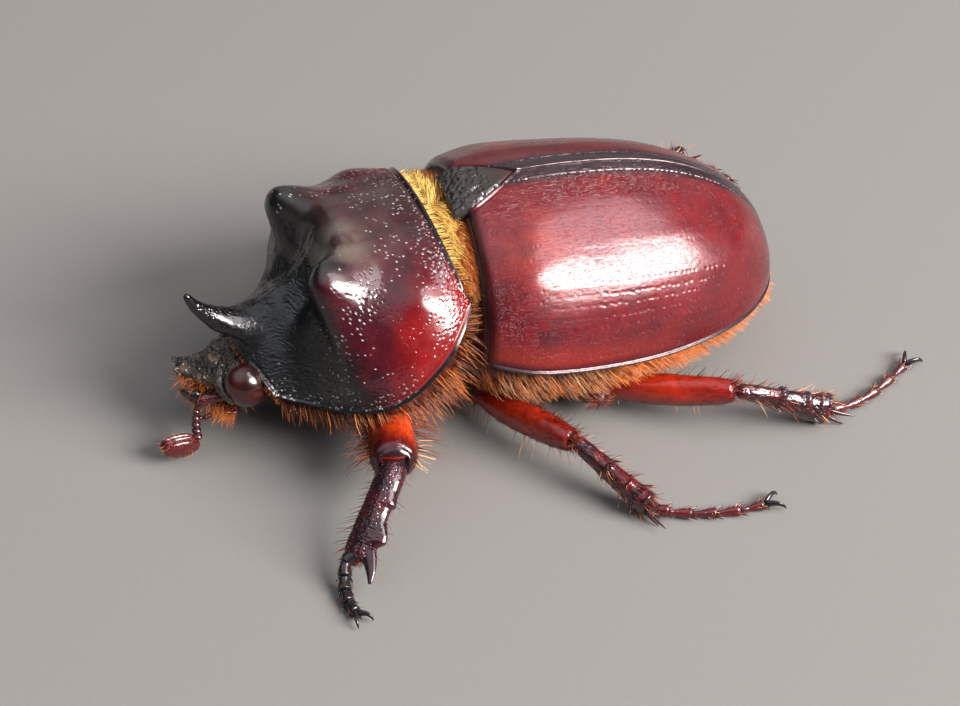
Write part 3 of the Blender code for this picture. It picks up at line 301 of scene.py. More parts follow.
# ---------------------------------------------------------------- legs (levelled frame)
# Left leg points; each femur and tibia lists x, y, z of its axis.
# knee balls sit in sockets cut from the femur; half-thicknesses are (broad, thin).
LEGS = {
    "front_left": dict(
        coxa=((4.1, -5.9, -4.9), (2.6, 1.75, 1.5)),
        femur=[(5.6, -6.15, -4.95), (7.7, -6.55, -4.5), (10.2, -7.1, -3.85), (12.5, -7.6, -3.2), (13.85, -7.9, -2.85)],
        femur_r=[(1.05, 0.95), (1.45, 1.15), (1.7, 1.3), (1.55, 1.2), (1.15, 1.0)],
        tibia=[(14.1, -7.95, -2.75), (15.2, -8.85, -3.3), (16.5, -10.05, -4.15), (17.7, -11.15, -5.15), (18.7, -12.1, -6.1)],
        tibia_r=[(0.62, 0.6), (0.8, 0.6), (0.95, 0.58), (1.15, 0.5), (1.05, 0.4)],
        tarsus=[(18.35, -12.65, -6.4), (19.1, -13.05, -7.0), (20.1, -13.3, -7.5), (21.2, -13.3, -7.62), (22.1, -13.05, -7.62)],
        claws=(1.0, 0.35)),
    "mid_left": dict(
        coxa=((4.2, 1.5, -5.5), (2.5, 1.5, 1.25)),
        femur=[(5.6, 1.2, -5.7), (7.9, 2.2, -5.45), (10.2, 3.45, -5.1), (12.4, 4.75, -4.8), (13.6, 5.45, -4.65)],
        femur_r=[(0.95, 0.85), (1.2, 1.0), (1.25, 1.0), (1.05, 0.9), (0.75, 0.7)],
        tibia=[(13.85, 5.6, -4.6), (15.3, 6.6, -5.25), (16.8, 7.6, -5.95), (18.2, 8.55, -6.55), (19.1, 9.15, -6.9)],
        tibia_r=[(0.5, 0.48), (0.62, 0.55), (0.75, 0.62), (0.9, 0.7), (1.05, 0.8)],
        tarsus=[(19.4, 9.65, -7.1), (19.95, 11.5, -7.5), (20.5, 13.7, -7.62), (20.75, 15.8, -7.62), (20.7, 17.2, -7.62)],
        claws=(-0.05, 1.0)),
    "hind_left": dict(
        coxa=((5.2, 9.0, -5.65), (4.0, 1.5, 1.2)),
        femur=[(6.9, 9.8, -5.8), (8.6, 11.9, -5.45), (10.3, 14.4, -4.95), (11.7, 16.8, -4.5), (12.5, 18.25, -4.25)],
        femur_r=[(0.95, 0.85), (1.2, 0.95), (1.25, 0.95), (1.1, 0.85), (0.75, 0.7)],
        tibia=[(12.6, 18.5, -4.2), (12.95, 20.2, -4.85), (13.3, 21.9, -5.55), (13.6, 23.8, -6.35), (13.7, 24.9, -6.75)],
        tibia_r=[(0.5, 0.48), (0.65, 0.55), (0.8, 0.65), (0.95, 0.75), (1.12, 0.85)],
        tarsus=[(13.65, 25.45, -7.0), (13.0, 27.5, -7.5), (12.1, 29.6, -7.62), (10.9, 31.6, -7.62), (10.1, 32.8, -7.62)],
        claws=(-0.55, 0.9)),
    "front_right": dict(
        coxa=((-4.1, -5.9, -4.9), (2.6, 1.75, 1.5)),
        femur=[(-5.6, -6.0, -4.95), (-7.6, -6.0, -4.6), (-9.9, -6.05, -4.15), (-11.8, -6.15, -3.65), (-13.0, -6.25, -3.35)],
        femur_r=[(1.05, 0.95), (1.45, 1.15), (1.7, 1.3), (1.55, 1.2), (1.15, 1.0)],
        tibia=[(-13.2, -6.25, -3.25), (-14.3, -6.4, -4.0), (-15.4, -6.6, -4.9), (-16.4, -6.8, -5.8), (-17.1, -6.95, -6.5)],
        tibia_r=[(0.62, 0.6), (0.8, 0.6), (0.95, 0.58), (1.15, 0.5), (1.05, 0.4)],
        tarsus=[(-16.7, -7.6, -6.7), (-15.9, -8.4, -7.3), (-14.9, -8.9, -7.6), (-13.7, -9.2, -7.62), (-12.7, -9.3, -7.62)],
        claws=(1.0, -0.1)),
    "mid_right": dict(
        coxa=((-4.2, 1.5, -5.5), (2.5, 1.5, 1.25)),
        femur=[(-5.6, 1.1, -5.7), (-8.0, 1.8, -5.45), (-10.4, 2.55, -5.15), (-12.6, 3.2, -4.85), (-13.9, 3.55, -4.7)],
        femur_r=[(0.95, 0.85), (1.2, 1.0), (1.25, 1.0), (1.05, 0.9), (0.75, 0.7)],
        tibia=[(-14.15, 3.65, -4.65), (-15.6, 4.4, -5.3), (-17.0, 5.2, -6.0), (-18.3, 6.1, -6.6), (-19.1, 6.7, -6.95)],
        tibia_r=[(0.5, 0.48), (0.62, 0.55), (0.75, 0.62), (0.9, 0.7), (1.05, 0.8)],
        tarsus=[(-19.3, 7.25, -7.15), (-19.6, 9.1, -7.55), (-19.9, 11.2, -7.62), (-19.9, 13.3, -7.62), (-19.6, 14.8, -7.62)],
        claws=(0.2, 1.0)),
    "hind_right": dict(
        coxa=((-5.2, 9.0, -5.65), (4.0, 1.5, 1.2)),
        femur=[(-6.9, 9.9, -5.8), (-9.0, 12.4, -5.5), (-11.2, 15.2, -5.15), (-13.1, 17.8, -4.8), (-14.2, 19.3, -4.65)],
        femur_r=[(0.95, 0.85), (1.2, 0.95), (1.25, 0.95), (1.1, 0.85), (0.75, 0.7)],
        tibia=[(-14.35, 19.55, -4.6), (-15.2, 21.1, -5.2), (-16.1, 22.8, -5.85), (-17.0, 24.5, -6.5), (-17.5, 25.5, -6.85)],
        tibia_r=[(0.5, 0.48), (0.65, 0.55), (0.8, 0.65), (0.95, 0.75), (1.12, 0.85)],
        tarsus=[(-17.4, 26.1, -7.05), (-16.4, 27.7, -7.5), (-14.6, 28.6, -7.62), (-12.7, 28.5, -7.62), (-11.5, 27.9, -7.62)],
        claws=(0.9, -0.45)),
}


def smooth_path(pts, n):
    """n points along a smooth curve through pts, evenly spaced; also the 0-1 parameter of each."""
    pts = np.asarray(pts, float)
    d = np.concatenate([[0], np.cumsum(np.linalg.norm(np.diff(pts, axis=0), axis=1))])
    t = d / d[-1]
    k = np.linspace(0, 1, n)
    out = np.stack([catmull(k, t, pts[:, i]) for i in range(3)], -1)
    return out, k, t


def catmull(k, t, v):
    """Cubic through knots with centred tangents."""
    m = np.empty(len(v))
    m[1:-1] = (v[2:] - v[:-2]) / (t[2:] - t[:-2])
    m[0] = (v[1] - v[0]) / (t[1] - t[0])
    m[-1] = (v[-1] - v[-2]) / (t[-1] - t[-2])
    i = np.clip(np.searchsorted(t, k, side="right") - 1, 0, len(t) - 2)
    h = t[i + 1] - t[i]
    u = (k - t[i]) / h
    return ((2 * u ** 3 - 3 * u ** 2 + 1) * v[i] + (u ** 3 - 2 * u ** 2 + u) * h * m[i]
            + (-2 * u ** 3 + 3 * u ** 2) * v[i + 1] + (u ** 3 - u ** 2) * h * m[i + 1])


def frames(path, broad):
    """Tangent, broad and thin directions along a path; broad is the wanted wide direction."""
    tan = np.gradient(path, axis=0)
    tan /= np.linalg.norm(tan, axis=1)[:, None]
    b = np.asarray(broad, float)[None] - (tan @ np.asarray(broad, float))[:, None] * tan
    b /= np.linalg.norm(b, axis=1)[:, None]
    n = np.cross(tan, b)
    return tan, b, n


def limb(pts, radii, broad, rings, sides, cap_a=1.0, cap_b=1.0, shape=None):
    """Rounded limb: rings of points along the path. cap_a and cap_b are how long
    the rounded ends are, in radii. shape(k) may return extra (plus, minus) reach
    on the two broad sides."""
    path, k, t = smooth_path(pts, 240)
    tan, b, n = frames(path, broad)
    length = np.sum(np.linalg.norm(np.diff(path, axis=0), axis=1))
    ra = catmull(k, t, np.array([r[0] for r in radii], float))
    rb = catmull(k, t, np.array([r[1] for r in radii], float))
    la, lb = cap_a * ra[0] / length, cap_b * ra[-1] / length
    u = np.linspace(0, 1, rings)
    ks = np.interp(u, [0, 0.18, 0.82, 1], [0, la, 1 - lb, 1]) if rings > 8 else u
    m = max(3, rings // 5)
    ks = np.concatenate([la * (1 - np.cos(np.linspace(0, math.pi / 2, m + 1)))[:-1],
                         np.linspace(la, 1 - lb, rings - 2 * m),
                         1 - lb * (1 - np.cos(np.linspace(math.pi / 2, 0, m + 1)))[1:]])
    out = []
    ang = np.linspace(0, 2 * math.pi, sides, endpoint=False)
    for q in ks:
        i = min(int(round(q * 239)), 239)
        p = np.array([np.interp(q, k, path[:, j]) for j in range(3)])
        f = 1.0
        if q < la:
            f = math.sqrt(max(0.0, 1 - (1 - q / la) ** 2))
        if q > 1 - lb:
            f = math.sqrt(max(0.0, 1 - (1 - (1 - q) / lb) ** 2))
        a, c = np.interp(q, k, ra) * f, np.interp(q, k, rb) * f
        plus, minus = (shape(q) if shape else (0.0, 0.0))
        ca = np.cos(ang)
        reach = np.where(ca > 0, a + plus * f, a + minus * f) * ca
        out.append(p + reach[:, None] * b[i] + (c * np.sin(ang))[:, None] * n[i])
    return np.array(out)


def place(p):
    return (np.asarray(p, float) + SHIFT) * U


# ---------------------------------------------------------------- smooth noise, the same on every run
def lattice(ix, iy, iz, seed):
    h = (ix * 73856093 ^ iy * 19349663 ^ iz * 83492791 ^ (seed * 2654435761 & 0x7FFFFFFF)) & 0x7FFFFFFF
    h = (h ^ (h >> 13)) * 1274126177 & 0x7FFFFFFF
    h = (h ^ (h >> 16)) * 668265263 & 0x7FFFFFFF
    return ((h ^ (h >> 11)) & 0xFFFFF) / float(0xFFFFF) * 2 - 1


def noise(p, scale=1.0, seed=0, octaves=1):
    """Value noise from -1 to 1 at the points p (..., 3); scale is the size of a blob."""
    p = np.asarray(p, float) / scale
    out, amp, total = 0.0, 1.0, 0.0
    for o in range(octaves):
        q = p * 2 ** o + 17.3 * (o + 1)
        i = np.floor(q).astype(np.int64)
        f = q - i
        w = f * f * f * (f * (f * 6 - 15) + 10)
        v = 0.0
        for dx in (0, 1):
            wx = w[..., 0] if dx else 1 - w[..., 0]
            for dy in (0, 1):
                wy = w[..., 1] if dy else 1 - w[..., 1]
                for dz in (0, 1):
                    wz = w[..., 2] if dz else 1 - w[..., 2]
                    v = v + wx * wy * wz * lattice(i[..., 0] + dx, i[..., 1] + dy, i[..., 2] + dz, seed + o * 31)
        out = out + amp * v
        total += amp
        amp *= 0.5
    return out / total


def step(x, a, b):
    """0 below a, 1 above b, smooth between (a may be over b)."""
    t = np.clip((x - a) / (b - a), 0, 1)
    return t * t * (3 - 2 * t)


def bell(x, width):
    return np.exp(-(x / width) ** 2)


def unit(v):
    return v / np.maximum(np.linalg.norm(v, axis=-1, keepdims=True), 1e-12)


def grid_normals(P, wrap=False):
    """Unit normals of a grid of points (ni, nj, 3)."""
    a = np.gradient(P, axis=0)
    if wrap:
        b = np.roll(P, -1, 1) - np.roll(P, 1, 1)
    else:
        b = np.gradient(P, axis=1)
    return unit(np.cross(b, a))


def along(P, axis):
    """Running length along a grid axis."""
    d = np.linalg.norm(np.diff(P, axis=axis), axis=-1)
    z = np.zeros_like(np.take(d, [0], axis=axis))
    return np.concatenate([z, np.cumsum(d, axis=axis)], axis=axis)


def grid_quads(ni, nj, off=0, wrap=False):
    i, j = np.meshgrid(np.arange(ni - 1), np.arange(nj if wrap else nj - 1), indexing="ij")
    k = (j + 1) % nj
    return np.stack([off + i * nj + j, off + i * nj + k, off + (i + 1) * nj + k, off + (i + 1) * nj + j], -1).reshape(-1, 4)


def zip_strip(a, b):
    """Triangles between two rows of vertex numbers whose ends meet."""
    out, i, j = [], 0, 0
    while i < len(a) - 1 or j < len(b) - 1:
        if j == len(b) - 1 or (i < len(a) - 1 and (i + 1) / (len(a) - 1) <= (j + 1) / (len(b) - 1)):
            out.append((a[i], a[i + 1], b[j]))
            i += 1
        else:
            out.append((a[i], b[j + 1], b[j]))
            j += 1
    return out


def dent(P, spots, radii, depths, rim=0.0):
    """How far each point of P sinks for round pits at the spots."""
    pts = P.reshape(-1, 3)
    tree = kdtree.KDTree(len(spots))
    for i, s in enumerate(spots):
        tree.insert(s, i)
    tree.balance()
    reach = float(np.max(radii)) * 1.5
    out = np.zeros(len(pts))
    # a coarse sieve first, so that far points aren't looked up
    cell = reach * 2
    keys = {tuple(k) for k in np.floor(np.asarray(spots) / cell).astype(int)}
    near = {(a + x, b + y, c + z) for a, b, c in keys for x in (-1, 0, 1) for y in (-1, 0, 1) for z in (-1, 0, 1)}
    own = np.floor(pts / cell).astype(int)
    for i in range(len(pts)):
        if tuple(own[i]) not in near:
            continue
        v = 0.0
        for _, k, d in tree.find_range(pts[i], reach):
            q = d / radii[k]
            if q < 1:
                v = max(v, depths[k] * (1 - q * q) ** 1.5)
            elif q < 1.5 and rim:
                v = v if v > 0 else min(v, -depths[k] * rim * math.sin((q - 1) * 2 * math.pi))
        out[i] = v
    return out.reshape(P.shape[:-1])


def object_from(name, verts, quads=None, tris=None, material=None, slot=None, replaces=(), data=None, uv=None, metres=False):
    """New piece from points (design units). data: name -> one number a vertex."""
    verts = np.asarray(verts, float).reshape(-1, 3)
    co = verts if metres else place(verts)
    co[:, 2] = np.maximum(co[:, 2], 0.0)
    quads = np.zeros((0, 4), int) if quads is None or len(quads) == 0 else np.asarray(quads, int)
    tris = np.zeros((0, 3), int) if tris is None or len(tris) == 0 else np.asarray(tris, int)
    me = bpy.data.meshes.new(name)
    me.vertices.add(len(co))
    me.vertices.foreach_set("co", co.astype(np.float32).ravel())
    loops = np.concatenate([quads.ravel(), tris.ravel()]).astype(np.int32)
    me.loops.add(len(loops))
    me.loops.foreach_set("vertex_index", loops)
    me.polygons.add(len(quads) + len(tris))
    me.polygons.foreach_set("loop_start", np.concatenate([np.arange(len(quads)) * 4, len(quads) * 4 + np.arange(len(tris)) * 3]).astype(np.int32))
    me.update(calc_edges=True)
    if uv is not None:
        layer = me.uv_layers.new(name="OFBake")
        layer.data.foreach_set("uv", np.asarray(uv, np.float32)[loops].ravel())
    for key, values in (data or {}).items():
        a = me.attributes.new(key, "FLOAT", "POINT")
        a.data.foreach_set("value", np.asarray(values, np.float32).ravel())
    me.validate()
    me.shade_smooth()
    if material is not None:
        me.materials.append(material)
    ob = bpy.data.objects.new(name, me)
    bpy.context.scene.collection.objects.link(ob)
    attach(ob, "root")
    if replaces:
        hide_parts(*replaces)
    return ob


def closed_rings(rings, wrap=True):
    """Vertices and faces of a tube of rings closed by fans."""
    rings = np.asarray(rings, float)
    n, m = rings.shape[:2]
    v = np.concatenate([rings.reshape(-1, 3), rings[0].mean(0)[None], rings[-1].mean(0)[None]])
    q = grid_quads(n, m, wrap=True)
    j = np.arange(m)
    k = (j + 1) % m
    t = np.concatenate([np.stack([k, j, np.full(m, n * m)], 1),
                        np.stack([(n - 1) * m + j, (n - 1) * m + k, np.full(m, n * m + 1)], 1)])
    return v, q, t


def ring_uv(n, m):
    a, b = np.meshgrid(np.linspace(0.02, 0.98, n), np.linspace(0.02, 0.98, m), indexing="ij")
    return np.concatenate([np.stack([a, b], -1).reshape(-1, 2), [[0.01, 0.5], [0.99, 0.5]]])


def outward(verts, quads, tris):
    """Turns the faces over if the closed surface is inside out."""
    v = np.asarray(verts, float)
    vol = 0.0
    if len(quads):
        q = np.asarray(quads)
        for a, b, c in ((0, 1, 2), (0, 2, 3)):
            vol += np.einsum("ij,ij->i", v[q[:, a]], np.cross(v[q[:, b]], v[q[:, c]])).sum()
    if len(tris):
        t = np.asarray(tris)
        vol += np.einsum("ij,ij->i", v[t[:, 0]], np.cross(v[t[:, 1]], v[t[:, 2]])).sum()
    if vol < 0:
        quads = np.asarray(quads)[:, ::-1] if len(quads) else quads
        tris = np.asarray(tris)[:, ::-1] if len(tris) else tris
    return quads, tris


def tube_piece(name, rings, material, slot, replaces=(), data=None):
    v, q, t = closed_rings(rings)
    q, t = outward(v, q, t)
    d = None
    if data:
        d = {k: np.concatenate([np.asarray(x, float).reshape(-1), [np.asarray(x, float).reshape(-1)[0], np.asarray(x, float).reshape(-1)[-1]]])
             for k, x in data.items()}
    n, m = np.asarray(rings).shape[:2]
    return object_from(name, v, q, t, material, slot, replaces, d)


# ---------------------------------------------------------------- materials
class Mat:
    """A procedural material on a Principled shader, in millimetres."""

    def __init__(self, name, **sockets):
        self.mat = bpy.data.materials.new(name)
        self.mat.use_nodes = True
        self.nt = self.mat.node_tree
        self.bsdf = self.nt.nodes["Principled BSDF"]
        for k, v in sockets.items():
            self.bsdf.inputs[k.replace("_", " ")].default_value = v
        coord = self.nt.nodes.new("ShaderNodeTexCoord")
        mp = self.nt.nodes.new("ShaderNodeMapping")
        mp.inputs["Scale"].default_value = (1000, 1000, 1000)
        self.link(coord.outputs["Object"], mp.inputs["Vector"])
        self.mm = mp.outputs["Vector"]
        self.height = None

    def link(self, a, b):
        self.nt.links.new(a, b)

    def put(self, socket, v):
        if hasattr(v, "node"):
            self.link(v, socket)
        else:
            socket.default_value = v

    def noise(self, scale, detail=2.0, rough=0.5, distort=0.0, vec=None):
        n = self.nt.nodes.new("ShaderNodeTexNoise")
        self.link(vec if vec is not None else self.mm, n.inputs["Vector"])
        n.inputs["Scale"].default_value = scale
        n.inputs["Detail"].default_value = detail
        n.inputs["Roughness"].default_value = rough
        n.inputs["Distortion"].default_value = distort
        return n.outputs["Fac"]

    def cells(self, scale, feature="F1", random=1.0, vec=None):
        n = self.nt.nodes.new("ShaderNodeTexVoronoi")
        n.feature = feature
        self.link(vec if vec is not None else self.mm, n.inputs["Vector"])
        n.inputs["Scale"].default_value = scale
        n.inputs["Randomness"].default_value = random
        return n.outputs["Distance"]

    def stretch(self, scale, turn=(0, 0, 0)):
        mp = self.nt.nodes.new("ShaderNodeMapping")
        mp.inputs["Scale"].default_value = scale
        mp.inputs["Rotation"].default_value = turn
        self.link(self.mm, mp.inputs["Vector"])
        return mp.outputs["Vector"]

    def attr(self, name):
        n = self.nt.nodes.new("ShaderNodeAttribute")
        n.attribute_name = name
        return n.outputs["Fac"]

    def ramp(self, fac, stops):
        n = self.nt.nodes.new("ShaderNodeValToRGB")
        self.put(n.inputs["Fac"], fac)
        r = n.color_ramp
        while len(r.elements) < len(stops):
            r.elements.new(0.5)
        for e, (p, c) in zip(r.elements, stops):
            e.position = p
            e.color = (c, c, c, 1) if isinstance(c, (int, float)) else (*c, 1)
        return n.outputs["Color"]

    def mix(self, fac, a, b, mode="MIX"):
        n = self.nt.nodes.new("ShaderNodeMix")
        n.data_type = "RGBA"
        n.blend_type = mode
        self.put(n.inputs[0], fac)
        self.put(n.inputs[6], (*a, 1) if isinstance(a, tuple) else a)
        self.put(n.inputs[7], (*b, 1) if isinstance(b, tuple) else b)
        return n.outputs[2]

    def math(self, op, a, b=0.0, clamp=False):
        n = self.nt.nodes.new("ShaderNodeMath")
        n.operation = op
        n.use_clamp = clamp
        self.put(n.inputs[0], a)
        self.put(n.inputs[1], b)
        return n.outputs[0]

    def colour(self, v):
        self.put(self.bsdf.inputs["Base Color"], v)
        return self

    def rough(self, v):
        self.put(self.bsdf.inputs["Roughness"], v)
        return self

    def bump(self, height, strength=0.5, dist=0.05):
        """dist is in millimetres."""
        n = self.nt.nodes.new("ShaderNodeBump")
        n.inputs["Strength"].default_value = strength
        n.inputs["Distance"].default_value = dist / 1000
        self.put(n.inputs["Height"], height)
        if self.height is not None:
            self.link(self.height, n.inputs["Normal"])
        self.height = n.outputs["Normal"]
        self.link(self.height, self.bsdf.inputs["Normal"])
        if self.bsdf.inputs["Coat Weight"].default_value > 0:
            self.link(self.height, self.bsdf.inputs["Coat Normal"])
        return self


def shell_red():
    m = Mat("shell_red", Roughness=0.3, Coat_Weight=0.72, Coat_Roughness=0.2, IOR=1.42,
            Specular_Tint=(1.0, 0.48, 0.52, 1.0))
    big = m.noise(0.35, 3, 0.55)
    mid = m.noise(1.6, 4, 0.6)
    red = m.ramp(big, [(0.3, (0.055, 0.0015, 0.004)), (0.52, (0.09, 0.002, 0.0042)), (0.75, (0.122, 0.003, 0.0042))])
    red = m.mix(m.ramp(mid, [(0.35, 0.0), (0.72, 0.6)]), red, (0.042, 0.0016, 0.0042))
    warm = m.attr("warm")
    red = m.mix(warm, red, (0.185, 0.012, 0.004))
    col = m.mix(m.attr("dark"), red, (0.011, 0.006, 0.008))
    specks = m.ramp(m.cells(2.3), [(0.0, 1.0), (0.1, 0.0)])
    col = m.mix(m.math("MULTIPLY", specks, 0.35), col, (0.03, 0.003, 0.004))
    m.colour(col)
    m.rough(m.ramp(m.noise(2.5, 3), [(0.3, 0.25), (0.7, 0.36)]))
    scratch = m.noise(1.0, 5, 0.65, 0.4, m.stretch((7.0, 0.9, 4.0), (0, 0, 0.12)))
    m.bump(scratch, 0.16, 0.024)
    fine = m.noise(1.6, 3, 0.6, 1.2, m.stretch((13.0, 0.8, 8.0), (0.1, 0.2, -0.4)))
    m.bump(m.ramp(fine, [(0.58, 1.0), (0.61, 0.0)]), 0.45, 0.028)
    m.bump(m.ramp(m.cells(3.6), [(0.0, 0.0), (0.12, 1.0)]), 0.2, 0.015)
    return m.mat


def shell_wine():
    m = Mat("shell_wine", Roughness=0.26, Coat_Weight=0.3, Coat_Roughness=0.11, IOR=1.46)
    big = m.noise(0.5, 3, 0.6)
    red = m.ramp(big, [(0.3, (0.09, 0.002, 0.0034)), (0.7, (0.18, 0.0042, 0.0036))])
    wine = m.ramp(m.noise(0.9, 4, 0.6), [(0.3, (0.022, 0.002, 0.0048)), (0.7, (0.046, 0.0038, 0.008))])
    col = m.mix(m.attr("wine"), red, wine)
    col = m.mix(m.attr("dark"), col, (0.0035, 0.003, 0.0038))
    # pale grey-brown mix: painted sky sheen on the pronotum, plain dust on the scutellum
    col = m.mix(m.attr("dust_and_sheen"), col, (0.13, 0.105, 0.085))
    # white specks: partly pale grains, partly painted glints in the pits
    col = m.mix(m.attr("grain_and_glint"), col, (0.62, 0.6, 0.56))
    m.colour(col)
    soft = m.math("ADD", m.math("MULTIPLY", m.attr("matt"), 0.1), m.ramp(m.noise(2.2, 3), [(0.3, 0.17), (0.7, 0.27)]))
    m.rough(m.math("ADD", soft, m.math("MULTIPLY", m.attr("dust_and_sheen"), 0.25), True))
    pits = m.ramp(m.cells(2.9), [(0.0, 0.0), (0.2, 1.0)])
    m.bump(m.mix(m.attr("pitted"), (1.0, 1.0, 1.0), pits), 0.5, 0.05)
    m.bump(m.noise(7.5, 4, 0.6), 0.14, 0.02)
    lines = m.noise(1.0, 4, 0.65, 0.7, m.stretch((2.0, 2.6, 10.0), (0.25, 0.1, 0.0)))
    m.bump(m.math("MULTIPLY", lines, m.attr("lined")), 0.6, 0.05)
    return m.mat


def horn_black():
    m = Mat("horn_black", Roughness=0.24, Coat_Weight=0.25, Coat_Roughness=0.06, IOR=1.5)
    m.colour(m.ramp(m.noise(1.3, 3), [(0.3, (0.005, 0.004, 0.0055)), (0.7, (0.012, 0.007, 0.008))]))
    m.rough(m.ramp(m.noise(3.0, 3), [(0.3, 0.18), (0.7, 0.34)]))
    m.bump(m.ramp(m.cells(4.5), [(0.0, 0.0), (0.2, 1.0)]), 0.25, 0.03)
    m.bump(m.noise(8.0, 4, 0.6), 0.15, 0.02)
    return m.mat


def head_black():
    m = Mat("head_black", Roughness=0.3, Coat_Weight=0.2, Coat_Roughness=0.08, IOR=1.5)
    # pale specks: partly grains, partly painted glints
    m.colour(m.mix(m.ramp(m.cells(3.4), [(0.07, 0.85), (0.15, 0.0)]),
                   m.ramp(m.noise(0.9, 4, 0.6), [(0.35, (0.005, 0.004, 0.0035)), (0.52, (0.026, 0.018, 0.012)), (0.68, (0.1, 0.07, 0.048))]),
                   (0.5, 0.45, 0.38)))
    m.rough(m.ramp(m.noise(2.4, 3), [(0.3, 0.12), (0.7, 0.3)]))
    m.bump(m.ramp(m.cells(4.2), [(0.0, 0.0), (0.3, 1.0)]), 0.9, 0.09)
    m.bump(m.noise(6.0, 5, 0.65), 0.35, 0.05)
    return m.mat


def leg_red():
    m = Mat("leg_red", Roughness=0.22, Coat_Weight=0.25, Coat_Roughness=0.06, IOR=1.5,
            Subsurface_Weight=0.15, Subsurface_Scale=0.0004)
    m.bsdf.inputs["Subsurface Radius"].default_value = (1.0, 0.12, 0.05)
    red = m.ramp(m.noise(0.8, 3, 0.55), [(0.3, (0.1, 0.0016, 0.0025)), (0.7, (0.25, 0.005, 0.0035))])
    col = m.mix(m.attr("dark"), red, (0.008, 0.002, 0.004))
    col = m.mix(m.attr("warm"), col, (0.85, 0.075, 0.008))
    m.colour(col)
    m.bump(m.ramp(m.cells(3.2), [(0.0, 0.0), (0.17, 1.0)]), 0.25, 0.03)
    m.bump(m.noise(5.0, 4, 0.6), 0.16, 0.03)
    return m.mat


def leg_dark():
    m = Mat("leg_dark", Roughness=0.22, Coat_Weight=0.5, Coat_Roughness=0.05, IOR=1.5)
    dark = m.ramp(m.noise(1.1, 4, 0.6), [(0.3, (0.007, 0.002, 0.004)), (0.7, (0.03, 0.004, 0.007))])
    col = m.mix(m.attr("warm"), dark, (0.15, 0.006, 0.008))
    # grey specks: partly painted glints on the pits
    col = m.mix(m.ramp(m.cells(3.6), [(0.06, 0.5), (0.13, 0.0)]), col, (0.4, 0.38, 0.4))
    m.colour(col)
    m.bump(m.ramp(m.cells(4.0), [(0.0, 0.0), (0.2, 1.0)]), 0.7, 0.05)
    m.bump(m.noise(6.0, 4, 0.6), 0.2, 0.03)
    return m.mat


def body_dark():
    m = Mat("body_dark", Roughness=0.5, Coat_Weight=0.06, Coat_Roughness=0.2, IOR=1.45)
    m.colour(m.ramp(m.noise(0.8, 4, 0.6), [(0.3, (0.028, 0.004, 0.004)), (0.7, (0.085, 0.011, 0.006))]))
    m.bump(m.ramp(m.cells(3.0), [(0.0, 0.0), (0.2, 1.0)]), 0.4, 0.04)
    m.bump(m.noise(4.0, 5, 0.6), 0.25, 0.05)
    return m.mat


def membrane():
    m = Mat("membrane", Roughness=0.6)
    m.colour(m.mix(m.attr("gold"), m.ramp(m.noise(1.2, 4, 0.6), [(0.3, (0.03, 0.009, 0.005)), (0.7, (0.08, 0.024, 0.009))]), (0.6, 0.3, 0.06)))
    m.bump(m.noise(3.0, 5, 0.6), 0.4, 0.1)
    return m.mat


def eye_brown():
    m = Mat("eye_brown", Roughness=0.24, Coat_Weight=0.5, Coat_Roughness=0.05, IOR=1.45)
    m.colour(m.ramp(m.noise(0.7, 3), [(0.35, (0.008, 0.0016, 0.0015)), (0.7, (0.045, 0.0045, 0.004))]))
    m.bump(m.ramp(m.cells(9.0, random=0.3), [(0.0, 1.0), (0.5, 0.0)]), 0.06, 0.01)
    return m.mat


def hair(name, dark, light, rough=0.38):
    m = Mat(name, Roughness=rough, IOR=1.5)
    m.colour(m.mix(m.attr("tone"), dark, light))
    m.rough(m.ramp(m.noise(4.0, 2), [(0.3, rough - 0.08), (0.7, rough + 0.1)]))
    return m.mat


M_RED, M_WINE, M_HORN, M_HEAD = shell_red(), shell_wine(), horn_black(), head_black()
M_LEG, M_LEGDARK, M_BODY, M_SOFT, M_EYE = leg_red(), leg_dark(), body_dark(), membrane(), eye_brown()
M_GOLD = hair("hair_gold", (0.34, 0.06, 0.005), (1.0, 0.7, 0.19), 0.35)
M_ORANGE = hair("hair_orange", (0.045, 0.006, 0.004), (0.95, 0.25, 0.035), 0.3)
M_RUST = hair("hair_rust", (0.022, 0.004, 0.004), (0.36, 0.06, 0.018), 0.3)
M_PALE = hair("hair_pale", (0.3, 0.07, 0.02), (0.8, 0.42, 0.2))


